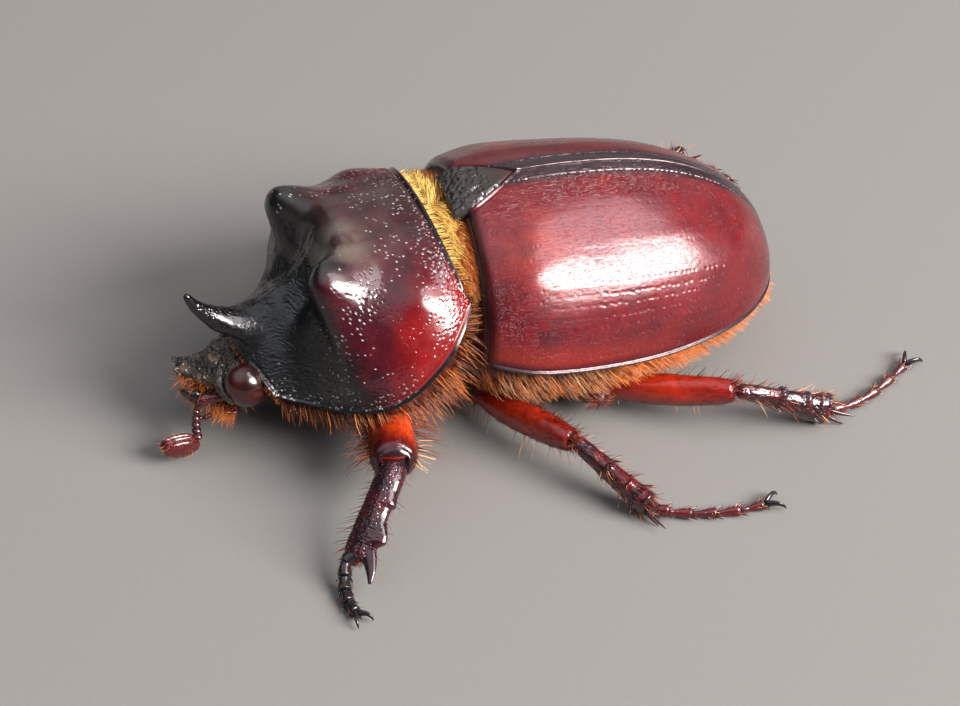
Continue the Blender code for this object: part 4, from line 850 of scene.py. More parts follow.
# ---------------------------------------------------------------- hairs
class Coat:
    """Many thin solid hairs gathered into a few meshes. Each hair has its own small patch
    of the map OFBake, at its root's place on an unwrap of the skin it grows from."""

    def __init__(self, name, material, slot="hair_gold"):
        self.name, self.material, self.slot, self.rows = name, material, slot, []

    def add(self, root, direction, length, radius, tone=0.5, droop=(0, 0, 0), uv=(0.5, 0.5)):
        root = np.asarray(root, float).reshape(-1, 3)
        n = len(root)
        full = lambda x, k: np.broadcast_to(np.asarray(x, float), (n, k)) if k > 1 else np.broadcast_to(np.asarray(x, float).reshape(-1), (n,))
        self.rows.append((root, unit(full(direction, 3)), full(length, 1), full(radius, 1), full(tone, 1), full(droop, 3), full(uv, 2)))

    def build(self, seed=5):
        if not self.rows:
            return
        root, d, ln, rad, tone, droop, uv = (np.concatenate([r[i] for r in self.rows]) for i in range(7))
        rng = np.random.default_rng(seed)
        most = 8600
        for part in range(0, len(root), most):
            s = slice(part, part + most)
            self.piece(part // most, root[s], d[s], ln[s], rad[s], tone[s], droop[s], uv[s], rng)

    def piece(self, number, root, d, ln, rad, tone, droop, uv, rng):
        n = len(root)
        ts = np.array([0.0, 0.3, 0.62, 0.86, 1.0])
        fat = np.array([1.0, 0.9, 0.68, 0.4, 0.0])
        other = unit(rng.normal(size=(n, 3)))
        a = unit(np.cross(d, other))
        b = np.cross(d, a)
        wave = rng.normal(0, 0.05, (n, 2))
        rings = []
        for t, f in zip(ts, fat):
            c = root - d * 0.04 + ln[:, None] * (d * t + droop * t * t + (a * wave[:, :1] + b * wave[:, 1:]) * math.sin(math.pi * t))
            c[:, 2] = np.maximum(c[:, 2], FLOOR + 0.05)
            if f == 0:
                rings.append(c[:, None])
            else:
                k = np.arange(3) * 2 * math.pi / 3
                rings.append(c[:, None] + (rad * f)[:, None, None] * (np.cos(k)[None, :, None] * a[:, None] + np.sin(k)[None, :, None] * b[:, None]))
        v = np.concatenate(rings, 1)                      # n, 13, 3
        off = (np.arange(n) * 13)[:, None, None]
        q = np.array([(3 * i + j, 3 * i + (j + 1) % 3, 3 * i + 3 + (j + 1) % 3, 3 * i + 3 + j) for i in range(3) for j in range(3)])[None]
        t = np.array([(9, 10, 12), (10, 11, 12), (11, 9, 12), (2, 1, 0)])[None]
        quads, tris = (q + off).reshape(-1, 4), (t + off).reshape(-1, 3)
        local = np.array([(x, y) for x in (0, 0.27, 0.53, 0.8) for y in (0.0, 0.5, 1.0)] + [(1.0, 0.5)]) * 0.003 - 0.0015
        m = np.clip(uv, 0.004, 0.996)[:, None] + local[None]
        tones = np.repeat(np.clip(tone, 0, 1), 13).reshape(n, 13) + np.array([-0.12] * 3 + [0] * 6 + [0.08] * 4)[None]
        object_from("%s_%d" % (self.name, number), v.reshape(-1, 3), quads, tris, self.material, self.slot, (),
                    {"tone": np.clip(tones, 0, 1).ravel()}, m.reshape(-1, 2))


class Skin:
    """Grid of points with outward normals, sampled anywhere between its points."""

    def __init__(self, P, wrap=False, centre=None, cell=(0.0, 0.0, 1.0)):
        self.P, self.wrap, self.cell = np.asarray(P, float), wrap, cell
        N = grid_normals(self.P, wrap)
        c = self.P.mean(1, keepdims=True) if centre is None else np.asarray(centre, float)
        if ((self.P - c) * N).sum() < 0:
            N = -N
        self.N = N
        self.ni, self.nj = self.P.shape[:2]

    def at(self, u, v):
        """Points, normals, the two grid directions and map places for u, v from 0 to 1."""
        u, v = np.asarray(u, float), np.asarray(v, float)
        fi = np.clip(u, 0, 1) * (self.ni - 1)
        fj = (v % 1.0) * self.nj if self.wrap else np.clip(v, 0, 1) * (self.nj - 1)
        i = np.clip(fi.astype(int), 0, self.ni - 2)
        j = fj.astype(int) if self.wrap else np.clip(fj.astype(int), 0, self.nj - 2)
        a, b = (fi - i)[:, None], (fj - j)[:, None]
        j0, j1 = (j % self.nj, (j + 1) % self.nj) if self.wrap else (j, j + 1)
        mix = lambda G: (G[i, j0] * (1 - a) * (1 - b) + G[i + 1, j0] * a * (1 - b) + G[i, j1] * (1 - a) * b + G[i + 1, j1] * a * b)
        du = unit(self.P[i + 1, j0] - self.P[i, j0])
        dv = unit(self.P[i, j1] - self.P[i, j0])
        uv = np.stack([self.cell[0] + self.cell[2] * (0.03 + 0.94 * np.clip(u, 0, 1)), self.cell[1] + self.cell[2] * (0.03 + 0.94 * np.clip(v, 0, 1))], -1)
        return mix(self.P), unit(mix(self.N)), du, dv, uv


COAT_COLLAR = Coat("coat_collar", M_GOLD)
COAT_UNDER = Coat("coat_under", M_ORANGE)
COAT_LEGS = Coat("coat_legs", M_RUST)
COAT_PALE = Coat("coat_pale", M_PALE)
COAT_HEAD = Coat("coat_head", M_ORANGE)


# ---------------------------------------------------------------- wing cases
def stria_x(s):
    """Distance of the sutural stria from the middle."""
    f, _, _ = elytra_profile(s)
    return 1.12 * f ** 0.75


def elytron_stations():
    a = np.linspace(0, SHOULDER_AT, 64)[:-1]
    phi = np.linspace(0, math.radians(88.6), 236)
    return np.concatenate([a, SHOULDER_AT + (1 - SHOULDER_AT) * np.sin(phi) ** (2 / TAIL_WIDTH_POWER)])


def elytron_piece(side, name):
    rng = np.random.default_rng(11 if side > 0 else 12)
    s = elytron_stations()
    k = np.concatenate([np.linspace(0, 0.045, 15)[:-1], np.linspace(0.045, 0.84, 128)[:-1], np.linspace(0.84, 1, 66)])
    S, K = np.meshgrid(s, k, indexing="ij")
    y = S * ELYTRA_LENGTH
    inner = np.where(y > SCUTELLUM_APEX, SEAM, np.maximum(SEAM, scutellum_half(y)) + SEAM)
    P = elytra_point(S, K * math.pi / 2, 0.0, inner)
    N = grid_normals(P)
    N = np.where((N[..., 2:3] < 0) & (np.abs(N[..., 2:3]) > 0.02) | ((np.abs(N[..., 2:3]) <= 0.02) & (N[..., 0:1] < 0)), -N, N)
    x = P[..., 0]
    edge = along(P, 1)                       # from the outer margin
    d = np.zeros(x.shape)
    # rolled base edge with its thin rim
    r = 0.85
    d -= r - np.sqrt(np.maximum(r * r - np.clip(r - y, 0, r) ** 2, 0))
    d += 0.09 * bell(y - 0.1, 0.12)
    # outer bead and the groove inside it
    fade = step(y, 0.0, 1.2)
    d += 0.09 * bell(edge - 0.04, 0.08) * (0.5 + 0.5 * fade) - 0.08 * bell(edge - 0.22, 0.1) * fade
    # shoulder and hind humps
    d += 0.2 * bell(np.hypot(edge - 7.6, (y - 3.4) * 0.8), 1.9)
    d -= 0.12 * bell(np.hypot(edge - 9.6, y - 2.0), 1.6)
    d += 0.16 * bell(np.hypot(edge - 6.2, (y - 20.2) * 0.9), 1.8)
    # suture: thin raised edge, flat interval, punctured stria
    xs = stria_x(S)
    behind = step(y, SCUTELLUM_APEX - 2.2, SCUTELLUM_APEX + 0.6)
    d += 0.05 * bell(x - 0.12, 0.13) * behind
    d += 0.035 * bell(x - xs * 0.55, xs * 0.28) * behind
    d -= 0.035 * bell(x - xs, 0.06) * behind
    # ring round the scutellum
    hw = scutellum_half(y)
    ring = np.where(y < SCUTELLUM_APEX, x - hw, np.hypot(x, y - SCUTELLUM_APEX))
    d -= 0.06 * bell(ring - 0.32, 0.1) * (y < SCUTELLUM_APEX + 0.4)
    d += 0.05 * bell(ring - 0.1, 0.1) * (y < SCUTELLUM_APEX + 0.4)
    # long low waves and fine unevenness
    d += 0.042 * noise(P, 3.4, 3, 1) + 0.01 * noise(P * (1, 0.6, 1), 1.5, 7, 1) + 0.004 * noise(P * (2.2, 0.45, 2.2), 0.8, 5, 2)
    # faint ribs between the rows of pits
    total = edge[:, -1:]
    frac = edge / total
    for a in (0.16, 0.36, 0.56, 0.76):
        d += 0.018 * bell(frac - a - 0.035, 0.03) * step(y, 2, 6) * step(y, 24, 20)

    # pits: rows along the stria and on the disc, and scattered ones
    spots, rad, dep = [], [], []
    mid = len(s) // 2

    def surface(sy, fr):
        i = np.searchsorted(s, sy)
        i = min(max(i, 0), len(s) - 1)
        row = frac[i]
        j = min(np.searchsorted(row, fr), len(k) - 1)
        return P[i, j]

    yy = SCUTELLUM_APEX - 1.6
    while yy < 24.2:
        i = min(np.searchsorted(s, yy / ELYTRA_LENGTH), len(s) - 1)
        j = int(np.argmin(np.abs(P[i, :, 0] - xs[i, 0])))
        spots.append(P[i, j] + (0, rng.normal(0, 0.02), 0))
        rad.append(0.12)
        dep.append(0.095)
        yy += 0.36 + rng.normal(0, 0.03)
    for a in (0.145, 0.20, 0.25, 0.3, 0.345, 0.395, 0.545, 0.59, 0.745, 0.785, 0.065):
        yy = 1.6 + rng.uniform(0, 0.5)
        while yy < 23.6:
            if rng.uniform() < (0.85 if a < 0.42 else 0.72):
                spots.append(surface(yy / ELYTRA_LENGTH, a + rng.normal(0, 0.0022)))
                rad.append(rng.uniform(0.09, 0.13))
                dep.append(rng.uniform(0.03, 0.055) * (1.6 if yy > 8 and a < 0.42 else 0.45))
            yy += 0.42 + rng.normal(0, 0.07)
    for _ in range(1500):
        yy = rng.uniform(0.6, 24.6)
        spots.append(surface(yy / ELYTRA_LENGTH, rng.uniform(0.03, 0.9)))
        q = rng.uniform()
        rad.append(0.06 + 0.05 * q)
        dep.append(0.004 + 0.014 * q * q)
    d -= dent(P, np.array(spots), np.array(rad), np.array(dep), 0.06)
    O = P + N * d[..., None]

    # lip under the margin, suture wall, and the plain inner face
    f, g, m = elytra_profile(s)
    lip = []
    for q in np.linspace(-math.pi / 2, -0.12, 6):
        w = O[:, 0, 0]
        lip.append(np.stack([w - 0.17 + 0.17 * math.cos(q), O[:, 0, 1], O[:, 0, 2] + 0.17 * math.sin(q)], -1))
    lip = np.array(lip).transpose(1, 0, 2)
    under = lip[:, :1] + np.stack([-np.minimum(0.75, O[:, 0, 0] * 0.6), np.zeros(len(s)), np.full(len(s), 0.06)], -1)[:, None]
    Q = elytra_point(S, K * math.pi / 2, SHELL, inner)
    pick = np.linspace(len(k) - 1, 0, 16).astype(int)
    back = Q[:, pick]
    back[:, :, 1] = O[:, pick, 1] * 0.985
    wall = O[:, -1:] * np.array([1, 1, 1]) - np.array([0, 0, 0.35])
    ring_ = np.concatenate([under, lip, O, wall, back], axis=1)
    if side < 0:
        ring_[..., 0] *= -1
    R = body_to_world(ring_)
    ns, nr = R.shape[:2]
    quads = grid_quads(ns, nr, wrap=True)
    no = 1 + lip.shape[1] + O.shape[1] + 1
    tris = []
    for i, flip in ((0, False), (ns - 1, True)):
        a = [i * nr + j for j in range(no)]
        b = [i * nr + j for j in range(nr - 1, no - 1, -1)]
        for t in zip_strip(a, b):
            tris.append(t[::-1] if flip else t)
    # closing row between the first outer and last inner point is the wrap quad
    quads, tris = outward(R.reshape(-1, 3), quads, np.array(tris))

    # colour zones
    band = step(x, xs + 0.75, xs - 0.05) * step(y, 0.4, 3.0)
    base = step(y, 0.5, 0.15) * 0.85
    margin = step(edge, 0.27, 0.15)
    tail = step(y, 23.4, 24.8) * 0.5
    dark = np.clip(np.maximum.reduce([band, base, margin, tail]) + 0.1 * noise(P, 0.7, 8, 2) * (x < 2.5), 0, 1)
    blotch = step(noise(P, 3.0, 21, 3), 0.1, 0.7) * 0.45
    dark = np.maximum(dark, blotch * step(y, 7, 2))
    # painted reflection: a dark patch inside the shoulder stands for dark surroundings mirrored in the shell
    dark = np.maximum(dark, 0.85 * bell(np.hypot((frac - 0.24) * 14, (y - 4.2) * 0.8), 1.25) * step(noise(P, 0.8, 23, 3), -0.5, 0.4))
    warm = 0.85 * bell(np.hypot(frac - 0.6, (y - 4.2) / 14), 0.17) * step(noise(P, 1.2, 25, 2), -0.8, 0.3) + 0.55 * step(edge, 2.6, 0.9) * step(edge, 0.5, 0.8) * step(y, 18, 6)
    pad = lambda a, v0, v1: np.concatenate([np.full((ns, 1 + lip.shape[1]), v0), a, np.full((ns, 1 + back.shape[1]), v1)], 1)
    data = {"dark": pad(dark, 1.0, 1.0).ravel(), "warm": pad(np.clip(warm, 0, 1), 0.0, 0.0).ravel()}
    u, v = np.meshgrid(np.linspace(0.01, 0.99, ns), np.linspace(0.01, 0.99, nr), indexing="ij")
    object_from(name, R, quads, tris, M_RED, "shell_red", (name,), data)
    return P, N, O


ELY_P, ELY_N, ELY_O = elytron_piece(1, "elytron_left")
elytron_piece(-1, "elytron_right")


def scutellum_piece():
    ys = np.linspace(SCUTELLUM_FRONT - 0.5, SCUTELLUM_APEX - 0.12, 64)
    rows = []
    for yv in ys:
        hw = max(float(scutellum_half(max(yv, 0.0))) - 0.04, 0.05)
        xs = np.linspace(hw, -hw, 57)
        z = elytra_top(xs, max(yv, 0.0)) - 0.06
        z = z - 0.5 * max(0.0, 0.35 - yv) ** 1.4
        e = hw - np.abs(xs)
        z = z - 0.16 * np.exp(-(e / 0.16) ** 2) + 0.05 * np.exp(-((e - 0.42) / 0.2) ** 2)
        rows.append(np.stack([xs, np.full(57, yv), z], -1))
    P = np.array(rows)
    rough = step(P[..., 1], 2.6, 0.4)
    P[..., 2] += 0.07 * rough * noise(P, 0.32, 4, 3)
    rng = np.random.default_rng(5)
    spots = []
    while len(spots) < 150:
        i, j = rng.integers(0, 63), rng.integers(3, 54)
        if rng.uniform() < rough[i, j] * 1.2:
            spots.append(P[i, j])
    P[..., 2] -= dent(P, np.array(spots), rng.uniform(0.13, 0.22, 150), rng.uniform(0.08, 0.16, 150), 0.3)
    Q = P.copy()
    Q[..., 2] -= 0.9
    top, low = body_to_world(P), body_to_world(Q)
    ni, nj = P.shape[:2]
    v = np.concatenate([top.reshape(-1, 3), low.reshape(-1, 3)])
    o = ni * nj
    q = [grid_quads(ni, nj), grid_quads(ni, nj, o)[:, ::-1]]
    side = []
    for i in range(ni - 1):
        for j, sgn in ((0, 1), (nj - 1, -1)):
            a, b = i * nj + j, (i + 1) * nj + j
            side.append((a, b, b + o, a + o)[::sgn])
    for j in range(nj - 1):
        for i, sgn in ((0, -1), (ni - 1, 1)):
            a, b = i * nj + j, i * nj + j + 1
            side.append((a, b, b + o, a + o)[::sgn])
    q = np.concatenate(q + [np.array(side)])
    q, _ = outward(v, q, [])
    wine = np.concatenate([step(P[..., 1], 2.2, 3.6).ravel()] * 2)
    dark = np.concatenate([(0.62 + 0.38 * step(P[..., 1], 3.6, 2.0)).ravel()] * 2)
    object_from("scutellum", v, q, None, M_WINE, "horn_black", ("scutellum",),
                {"wine": np.clip(1 - 0.3 * wine, 0, 1), "dark": dark, "pitted": 0.6 * dark, "matt": 0 * dark,
                 "dust_and_sheen": 0.16 * dark})


scutellum_piece()


# ---------------------------------------------------------------- pronotum and horn (prothorax frame)
CORNER = [(5.2, -7.9, 5.0), (6.6, -8.6, 3.4), (8.0, -9.0, 1.4), (8.9, -9.3, -0.8)]


def pro_surface(T, TH):
    """Finished form of the pronotum before its fine relief."""
    P = pronotum_base(T, TH)
    P[..., 2] += relief(P)
    x, y = np.abs(P[..., 0]), P[..., 1]
    win = np.where(y > -8.5, bell(y + 8.5, 1.55), bell(y + 8.5, 2.7))
    P[..., 2] -= 0.85 * bell(x - 2.2, 1.05) * win
    P[..., 2] += 0.14 * bell(x, 0.4) * step(y, -13.2, -11.2) * step(y, -5.0, -7.2)
    # each tubercle swells into a dome on its outer flank; a low swelling near the hind corner
    s = np.sign(P[..., 0])
    r = np.sqrt((x - 5.0) ** 2 + (y + 7.0) ** 2 + (P[..., 2] - 5.2) ** 2)
    dome = 0.4 * np.exp(-(r / 2.0) ** 2.5)
    r2 = np.sqrt((x - 7.4) ** 2 + (y + 2.4) ** 2 + (P[..., 2] - 1.9) ** 2)
    low = 0.46 * bell(r2, 1.6)
    # a rounded corner runs from the dome down to the side margin
    q = np.stack([x, y, P[..., 2]], -1)
    near = np.full(x.shape, 1e9)
    for a, b in zip(CORNER[:-1], CORNER[1:]):
        a, b = np.array(a), np.array(b)
        t = np.clip(((q - a) @ (b - a)) / ((b - a) @ (b - a)), 0, 1)
        near = np.minimum(near, np.linalg.norm(q - (a + t[..., None] * (b - a)), axis=-1))
    e = along(P, 1)
    e = np.minimum(e, e[:, -1:] - e)
    corner = 0.5 * bell(near, 1.9) * step(e, 0.3, 2.6)
    P = P + np.stack([s * (0.6 * dome + 0.7 * low + 0.64 * corner), 0.1 * low - 0.1 * dome - 0.74 * corner, 0.8 * dome + 0.7 * low + 0.2 * corner], -1)
    return P


def dense_ends(n, edge, share):
    """0 to 1 with `share` of the points within `edge` of each end."""
    k = int(n * share)
    return np.concatenate([np.linspace(0, edge, k)[:-1], np.linspace(edge, 1 - edge, n - 2 * k + 2), np.linspace(1 - edge, 1, k)[1:]])


PRO_T = dense_ends(234, 0.035, 0.08)
PRO_TH = dense_ends(388, 0.022, 0.055) * math.pi
PT, PTH = np.meshgrid(PRO_T, PRO_TH, indexing="ij")
PRO_P = pro_surface(PT, PTH)
PRO_N = grid_normals(PRO_P)
if PRO_N[100, 194, 2] < 0:
    PRO_N = -PRO_N


def wrinkle(p):
    """Fine relief that follows the place alone, so the horn and the plate share it."""
    x, y, z = np.abs(p[..., 0]), p[..., 1], p[..., 2]
    slope = step(y, -6.6, -8.4) * step(z, 6.6, 5.4) * step(z, -2.9, -2.0)
    warp = 0.42 * noise(p, 1.1, 41, 2) + 0.12 * noise(p, 0.4, 43)
    field = (z + 0.25 * y + warp) / 0.205
    wave = np.sin(2 * math.pi * field)
    broken = step(noise(p, 0.55, 45, 2), -0.45, 0.3)
    far = step(x, 7.5, 4.5)
    hollow = 1 + 1.3 * bell(np.hypot(x * 0.6, y + 8.8), 2.3)
    out = 0.023 * wave * broken * slope * (0.45 + 0.55 * far) * hollow
    out += 0.015 * noise(p * (1, 1, 1.4), 0.22, 47, 2) * slope
    out *= 1 - 0.75 * step(np.hypot(x, y + 15.9), 2.9, 1.6)
    return out


def pronotum_piece():
    rng = np.random.default_rng(21)
    P, N = PRO_P, PRO_N
    x, y, z = np.abs(P[..., 0]), P[..., 1], P[..., 2]
    e = along(P, 1)
    side = np.minimum(e, e[:, -1:] - e)
    h = along(P, 0)
    hind, front = h, h[-1:] - h
    d = np.zeros(x.shape)
    crown = step(side, 0.6, 2.5)
    d += 0.12 * bell(side - 0.07, 0.13) - 0.08 * bell(side - 0.34, 0.12) * step(hind, 0.1, 0.9)
    d += 0.1 * bell(hind - 0.1, 0.16) * crown - 0.08 * bell(hind - 0.42, 0.14) * crown
    d += 0.12 * bell(front - 0.12, 0.18) * step(x, 2.2, 3.0) - 0.07 * bell(front - 0.48, 0.15) * step(x, 2.4, 3.2)
    # edge rolled under
    d -= 0.25 * bell(side, 0.07)
    d += 0.04 * noise(P, 2.2, 31, 2)
    d += wrinkle(P)
    slope = step(y, -7.4, -9.0)

    def wanted(p, hd, sd):
        """Share of pits kept at a place, and their size."""
        ax, py, pz = abs(p[0]), p[1], p[2]
        hindband = math.exp(-(hd / 2.3) ** 2)
        dome = math.exp(-((ax - 6.7) / 1.7) ** 2 - ((py + 6.6) / 2.2) ** 2 - ((pz - 3.2) / 2.0) ** 2)
        low = math.exp(-(sd / 2.6) ** 2) * (1 if py < -5.5 else 0.4)
        front_side = math.exp(-((ax - 7.2) / 2.2) ** 2 - ((py + 9.2) / 2.4) ** 2) * 0.8
        return min(1.0, 0.05 + 0.95 * max(hindband, dome, low, front_side))

    spots, rad, dep = [], [], []
    taken = {}
    ni, nj = x.shape
    for _ in range(15000):
        i, j = rng.integers(2, ni - 2), rng.integers(2, nj - 2)
        p = P[i, j]
        if hind[i, j] < 0.55 and crown[i, j] > 0.5 or side[i, j] < 0.55 or front[i, j] < 0.5:
            continue
        w = wanted(p, hind[i, j], side[i, j])
        if p[1] < -10.3 and p[2] > -0.8:
            w *= 0.3
        if rng.uniform() > w * 0.6:
            continue
        key = tuple(np.floor(p / 0.36).astype(int))
        if key in taken:
            continue
        taken[key] = True
        spots.append(p)
        size = 0.085 + 0.065 * w * rng.uniform(0.5, 1.0)
        rad.append(size)
        dep.append(size * rng.uniform(0.4, 0.65))
    d -= dent(P, np.array(spots), np.array(rad), np.array(dep), 0.18)
    O = P + N * d[..., None]

    # under the plate: a lip, then straight across; the mouth for the head is sunk in
    ns = len(PRO_T)
    rings = []
    for i in range(ns):
        a, b = O[i, 0], O[i, -1]
        low = []
        for q in (0.25, 0.6, 0.85):
            low.append(b + (-0.22 * q * 2.2, 0, -0.10 * math.sin(q * math.pi)))
        f = np.linspace(0.06, 0.94, 9)[:, None]
        mid = b * (1 - f) + a * f
        mid[:, 2] += 0.15
        for q in (0.85, 0.6, 0.25):
            mid = np.concatenate([mid, [a + (0.22 * q * 2.2, 0, -0.10 * math.sin(q * math.pi))]])
        rings.append(np.concatenate([O[i], low, mid]))
    R = np.array(rings)
    extra_front = []
    c = R[-1].mean(0)
    for k, back in ((0.93, 0.05), (0.8, 0.5), (0.5, 1.0)):
        extra_front.append(c + (R[-1] - c) * (1, k, k) * (k, 1, 1) + (0, back, 0))
    c = R[0].mean(0)
    extra_hind = []
    for k, back in ((0.6, -0.6), (0.86, -0.4), (0.95, -0.1)):
        extra_hind.append(c + (R[0] - c) * (k, 1, k) + (0, back, 0))
    R = np.concatenate([np.array(extra_hind), R, np.array(extra_front)])
    v, q, t = closed_rings(pro_world(R))
    q, t = outward(v, q, t)

    # colour zones
    lim = -5.75 + 0.55 * z + 0.35 * noise(P, 1.4, 59, 2)
    red = step(y, lim - 1.5, lim + 1.7) * step(z, 3.4, 0.7)
    wine = 1 - red
    wine = np.clip(wine + 0.12 * noise(P, 1.5, 51, 2) * step(wine, 0.0, 0.3), 0, 1)
    limit = -8.4 + 0.9 * noise(P, 1.6, 53, 2) - 0.12 * (x - 4)
    dark = step(y, limit + 1.5, limit - 1.2)
    top = 0.42 * step(x, 4.6, 1.5) * step(y, -8.5, -6.0)
    peak = step(x, 6.2, 4.7) * step(y, -4.6, -6.6)
    far_band = 0.4 * step(hind, 2.6, 0.8) * step(x, 8.0, 5.0)
    bead = np.maximum.reduce([step(side, 0.22, 0.12), step(hind, 0.34, 0.22) * step(x, 8.2, 7.2), step(front, 0.4, 0.3)])
    patch = 0.45 * step(noise(P, 1.25, 55, 2), -0.1, 0.75) * step(x, 4.6, 6.8) * step(y, -4.6, -6.8)
    dark = np.clip(np.maximum.reduce([dark, peak, top + 0.2 * noise(P, 1.0, 57, 2) * (top > 0.1), far_band, bead, patch]), 0, 1)
    matt = np.maximum(step(y, -6.8, -8.6) * step(x, 9.5, 6.5) * 0.6, 0.5 * bell(np.sqrt((x - 5.0) ** 2 + (y + 6.4) ** 2 + (z - 5.2) ** 2), 1.7))
    # white specks: partly pale grains, partly painted glints, laid on the deeper pits and where the pits sparkle in the
    # light
    grain_and_glint_spots = []
    for i_, p_ in enumerate(spots):
        sp = 0.22 * (dep[i_] > 0.05)
        if p_[1] > -5.5 and 4.0 < abs(p_[0]) < 7.5 and p_[2] > 2.6:
            sp = 0.1
        if rng.uniform() < sp:
            grain_and_glint_spots.append(i_)
    for _ in range(2600):
        i, j = rng.integers(4, ni - 4), rng.integers(4, nj - 4)
        p_ = P[i, j]
        if p_[0] < -3.2 and p_[2] > 2.2 and p_[1] > -8.6 and rng.uniform() < 0.6 or (p_[1] > -3.6 and -3.2 < p_[0] < 8.0 and rng.uniform() < 0.55) or (side[i, j] < 1.2 and p_[0] > 0 and p_[1] < -5 and rng.uniform() < 0.8) or (6.0 < p_[0] < 9.5 and -10.5 < p_[1] < -7.2 and p_[2] < 3.2 and rng.uniform() < 0.7):
            spots.append(p_)
            rad.append(0.1)
            dep.append(0.0)
            grain_and_glint_spots.append(len(spots) - 1)
    spots_ = np.array(spots)[grain_and_glint_spots]
    grain_and_glint = dent(P, spots_, rng.uniform(0.045, 0.085, len(grain_and_glint_spots)), rng.uniform(0.3, 1.0, len(grain_and_glint_spots)) ** 1.7)
    grain_and_glint = np.clip(grain_and_glint * 1.5, 0, 1) * 0.75
    # painted sheen: a pale grey-brown patch on the saddle between the tubercles and a faint one over the top stand for
    # a soft reflection of the sky
    dust_and_sheen = 0.9 * bell(np.hypot((x - 2.3) * 0.8, y + 5.4), 1.7) * step(noise(P, 1.3, 60, 3), -0.7, 0.5) * step(P[..., 0], -1.5, 0.5)
    dust_and_sheen = np.maximum(dust_and_sheen, 0.14 * step(noise(P, 1.7, 62, 3), -0.6, 0.6) * step(z, 2.4, 4.0) * step(y, -8.2, -6.4))
    nr = R.shape[1]

    def full(a, fill):
        out = np.full((R.shape[0], nr), float(fill))
        out[3:3 + ns, :a.shape[1]] = a
        return out.ravel()

    data = {"wine": np.append(full(wine, 1), [1, 1]), "dark": np.append(full(dark, 1), [1, 1]),
            "pitted": np.append(full(np.clip(step(z, -2, 0) * (1 - dark) * 0.5 + 0.25, 0, 1), 0), [0, 0]),
            "matt": np.append(full(matt, 0.5), [0, 0]), "dust_and_sheen": np.append(full(dust_and_sheen, 0), [0, 0]),
            "grain_and_glint": np.append(full(grain_and_glint * (1 - 0.75 * step(y, -5.2, -6.4) * step(side, 3.5, 2.5) * red), 0), [0, 0]),
            "lined": np.append(full(step(y, -7.6, -9.4) * step(z, 6.6, 5.4), 0), [0, 0])}
    object_from("pronotum", v, q, t, M_WINE, "shell_wine", ("pronotum",), data)
    return O


PRO_O = pronotum_piece()
v_, q_, t_ = PRO_P.reshape(-1, 3), grid_quads(*PRO_P.shape[:2]), None
PRO_TREE = bvhtree.BVHTree.FromPolygons([tuple(p) for p in PRO_P[::2, ::3].reshape(-1, 3)],
                                        [tuple(f) for f in grid_quads(*PRO_P[::2, ::3].shape[:2])])


def pro_height(x, y):
    hit = PRO_TREE.ray_cast(Vector((x, y, 30.0)), Vector((0, 0, -1)))[0]
    return None if hit is None else hit.z


def horn_piece():
    n = 128
    a = np.linspace(0, 2 * math.pi, n, endpoint=False)
    z0 = 2.75
    shaft0 = horn_ring(z0, n)
    shaft1 = horn_ring(z0 + 0.25, n)
    tangent = unit(shaft1 - shaft0)
    yc = -14.1
    outer, inner = [], []
    for k in range(n):
        c, s = math.cos(a[k]), math.sin(a[k])
        ry = 3.3 if s > 0 else 1.1
        rx = 2.7
        pts = []
        for q in (1.0, 0.86):
            px, py = q * rx * c, yc + q * ry * s
            h = pro_height(px, max(py, -15.1))
            pts.append((px, py, h if h is not None else 0.6))
        outer.append(pts[0])
        inner.append(pts[1])
    outer, inner = np.array(outer), np.array(inner)
    lead = unit(inner - outer)
    gap = np.linalg.norm(shaft0 - outer, axis=1)[:, None]
    rings = [outer - lead * 0.2 - np.array([0, 0, 0.25]), outer - np.array([0, 0, 0.06])]
    for u in np.linspace(0.03, 1, 34):
        b0, b1 = (1 - u) ** 3, 3 * (1 - u) ** 2 * u
        b2, b3 = 3 * (1 - u) * u * u, u ** 3
        rings.append(b0 * outer + b1 * (outer + lead * gap * 0.42) + b2 * (shaft0 - tangent * gap * 0.36) + b3 * shaft0)
    for zz in np.linspace(z0 + 0.06, 6.0, 58):
        rings.append(horn_ring(zz, n))
    for q in np.linspace(0.12, 1.45, 9):
        rings.append(horn_ring(6.0 + 0.349 * math.sin(q), n))
    R = np.array(rings)
    N = grid_normals(R, wrap=True)
    mid = R.mean(1, keepdims=True)
    if ((R - mid) * N)[20:60].sum() < 0:
        N = -N
    z = R[..., 2]
    d = wrinkle(R) * step(z, 3.2, 2.2)
    d += 0.02 * noise(R * (1, 1, 0.35), 0.5, 61, 2) * step(z, 6.2, 5.0)
    rng = np.random.default_rng(9)
    spots, rad = [], []
    for _ in range(620):
        i, j = rng.integers(6, 84), rng.integers(0, n)
        if rng.uniform() < 1.15 - (R[i, j, 2] - 1.5) / 3.6:
            spots.append(R[i, j])
            rad.append(rng.uniform(0.07, 0.13))
    d -= dent(R, np.array(spots), np.array(rad), np.array(rad) * 0.4)
    d[:3] = 0
    R = R + N * d[..., None]
    tube_piece("horn", pro_world(R), M_WINE, "horn_black", ("horn",),
               {"dark": np.ones(R.shape[:2]), "wine": np.ones(R.shape[:2]), "pitted": np.full(R.shape[:2], 0.2),
                "matt": 0.9 * step(R[..., 2], 3.4, 1.8), "dust_and_sheen": np.zeros(R.shape[:2]), "lined": step(R[..., 2], 3.0, 1.6)})
    return R


HORN_R = horn_piece()


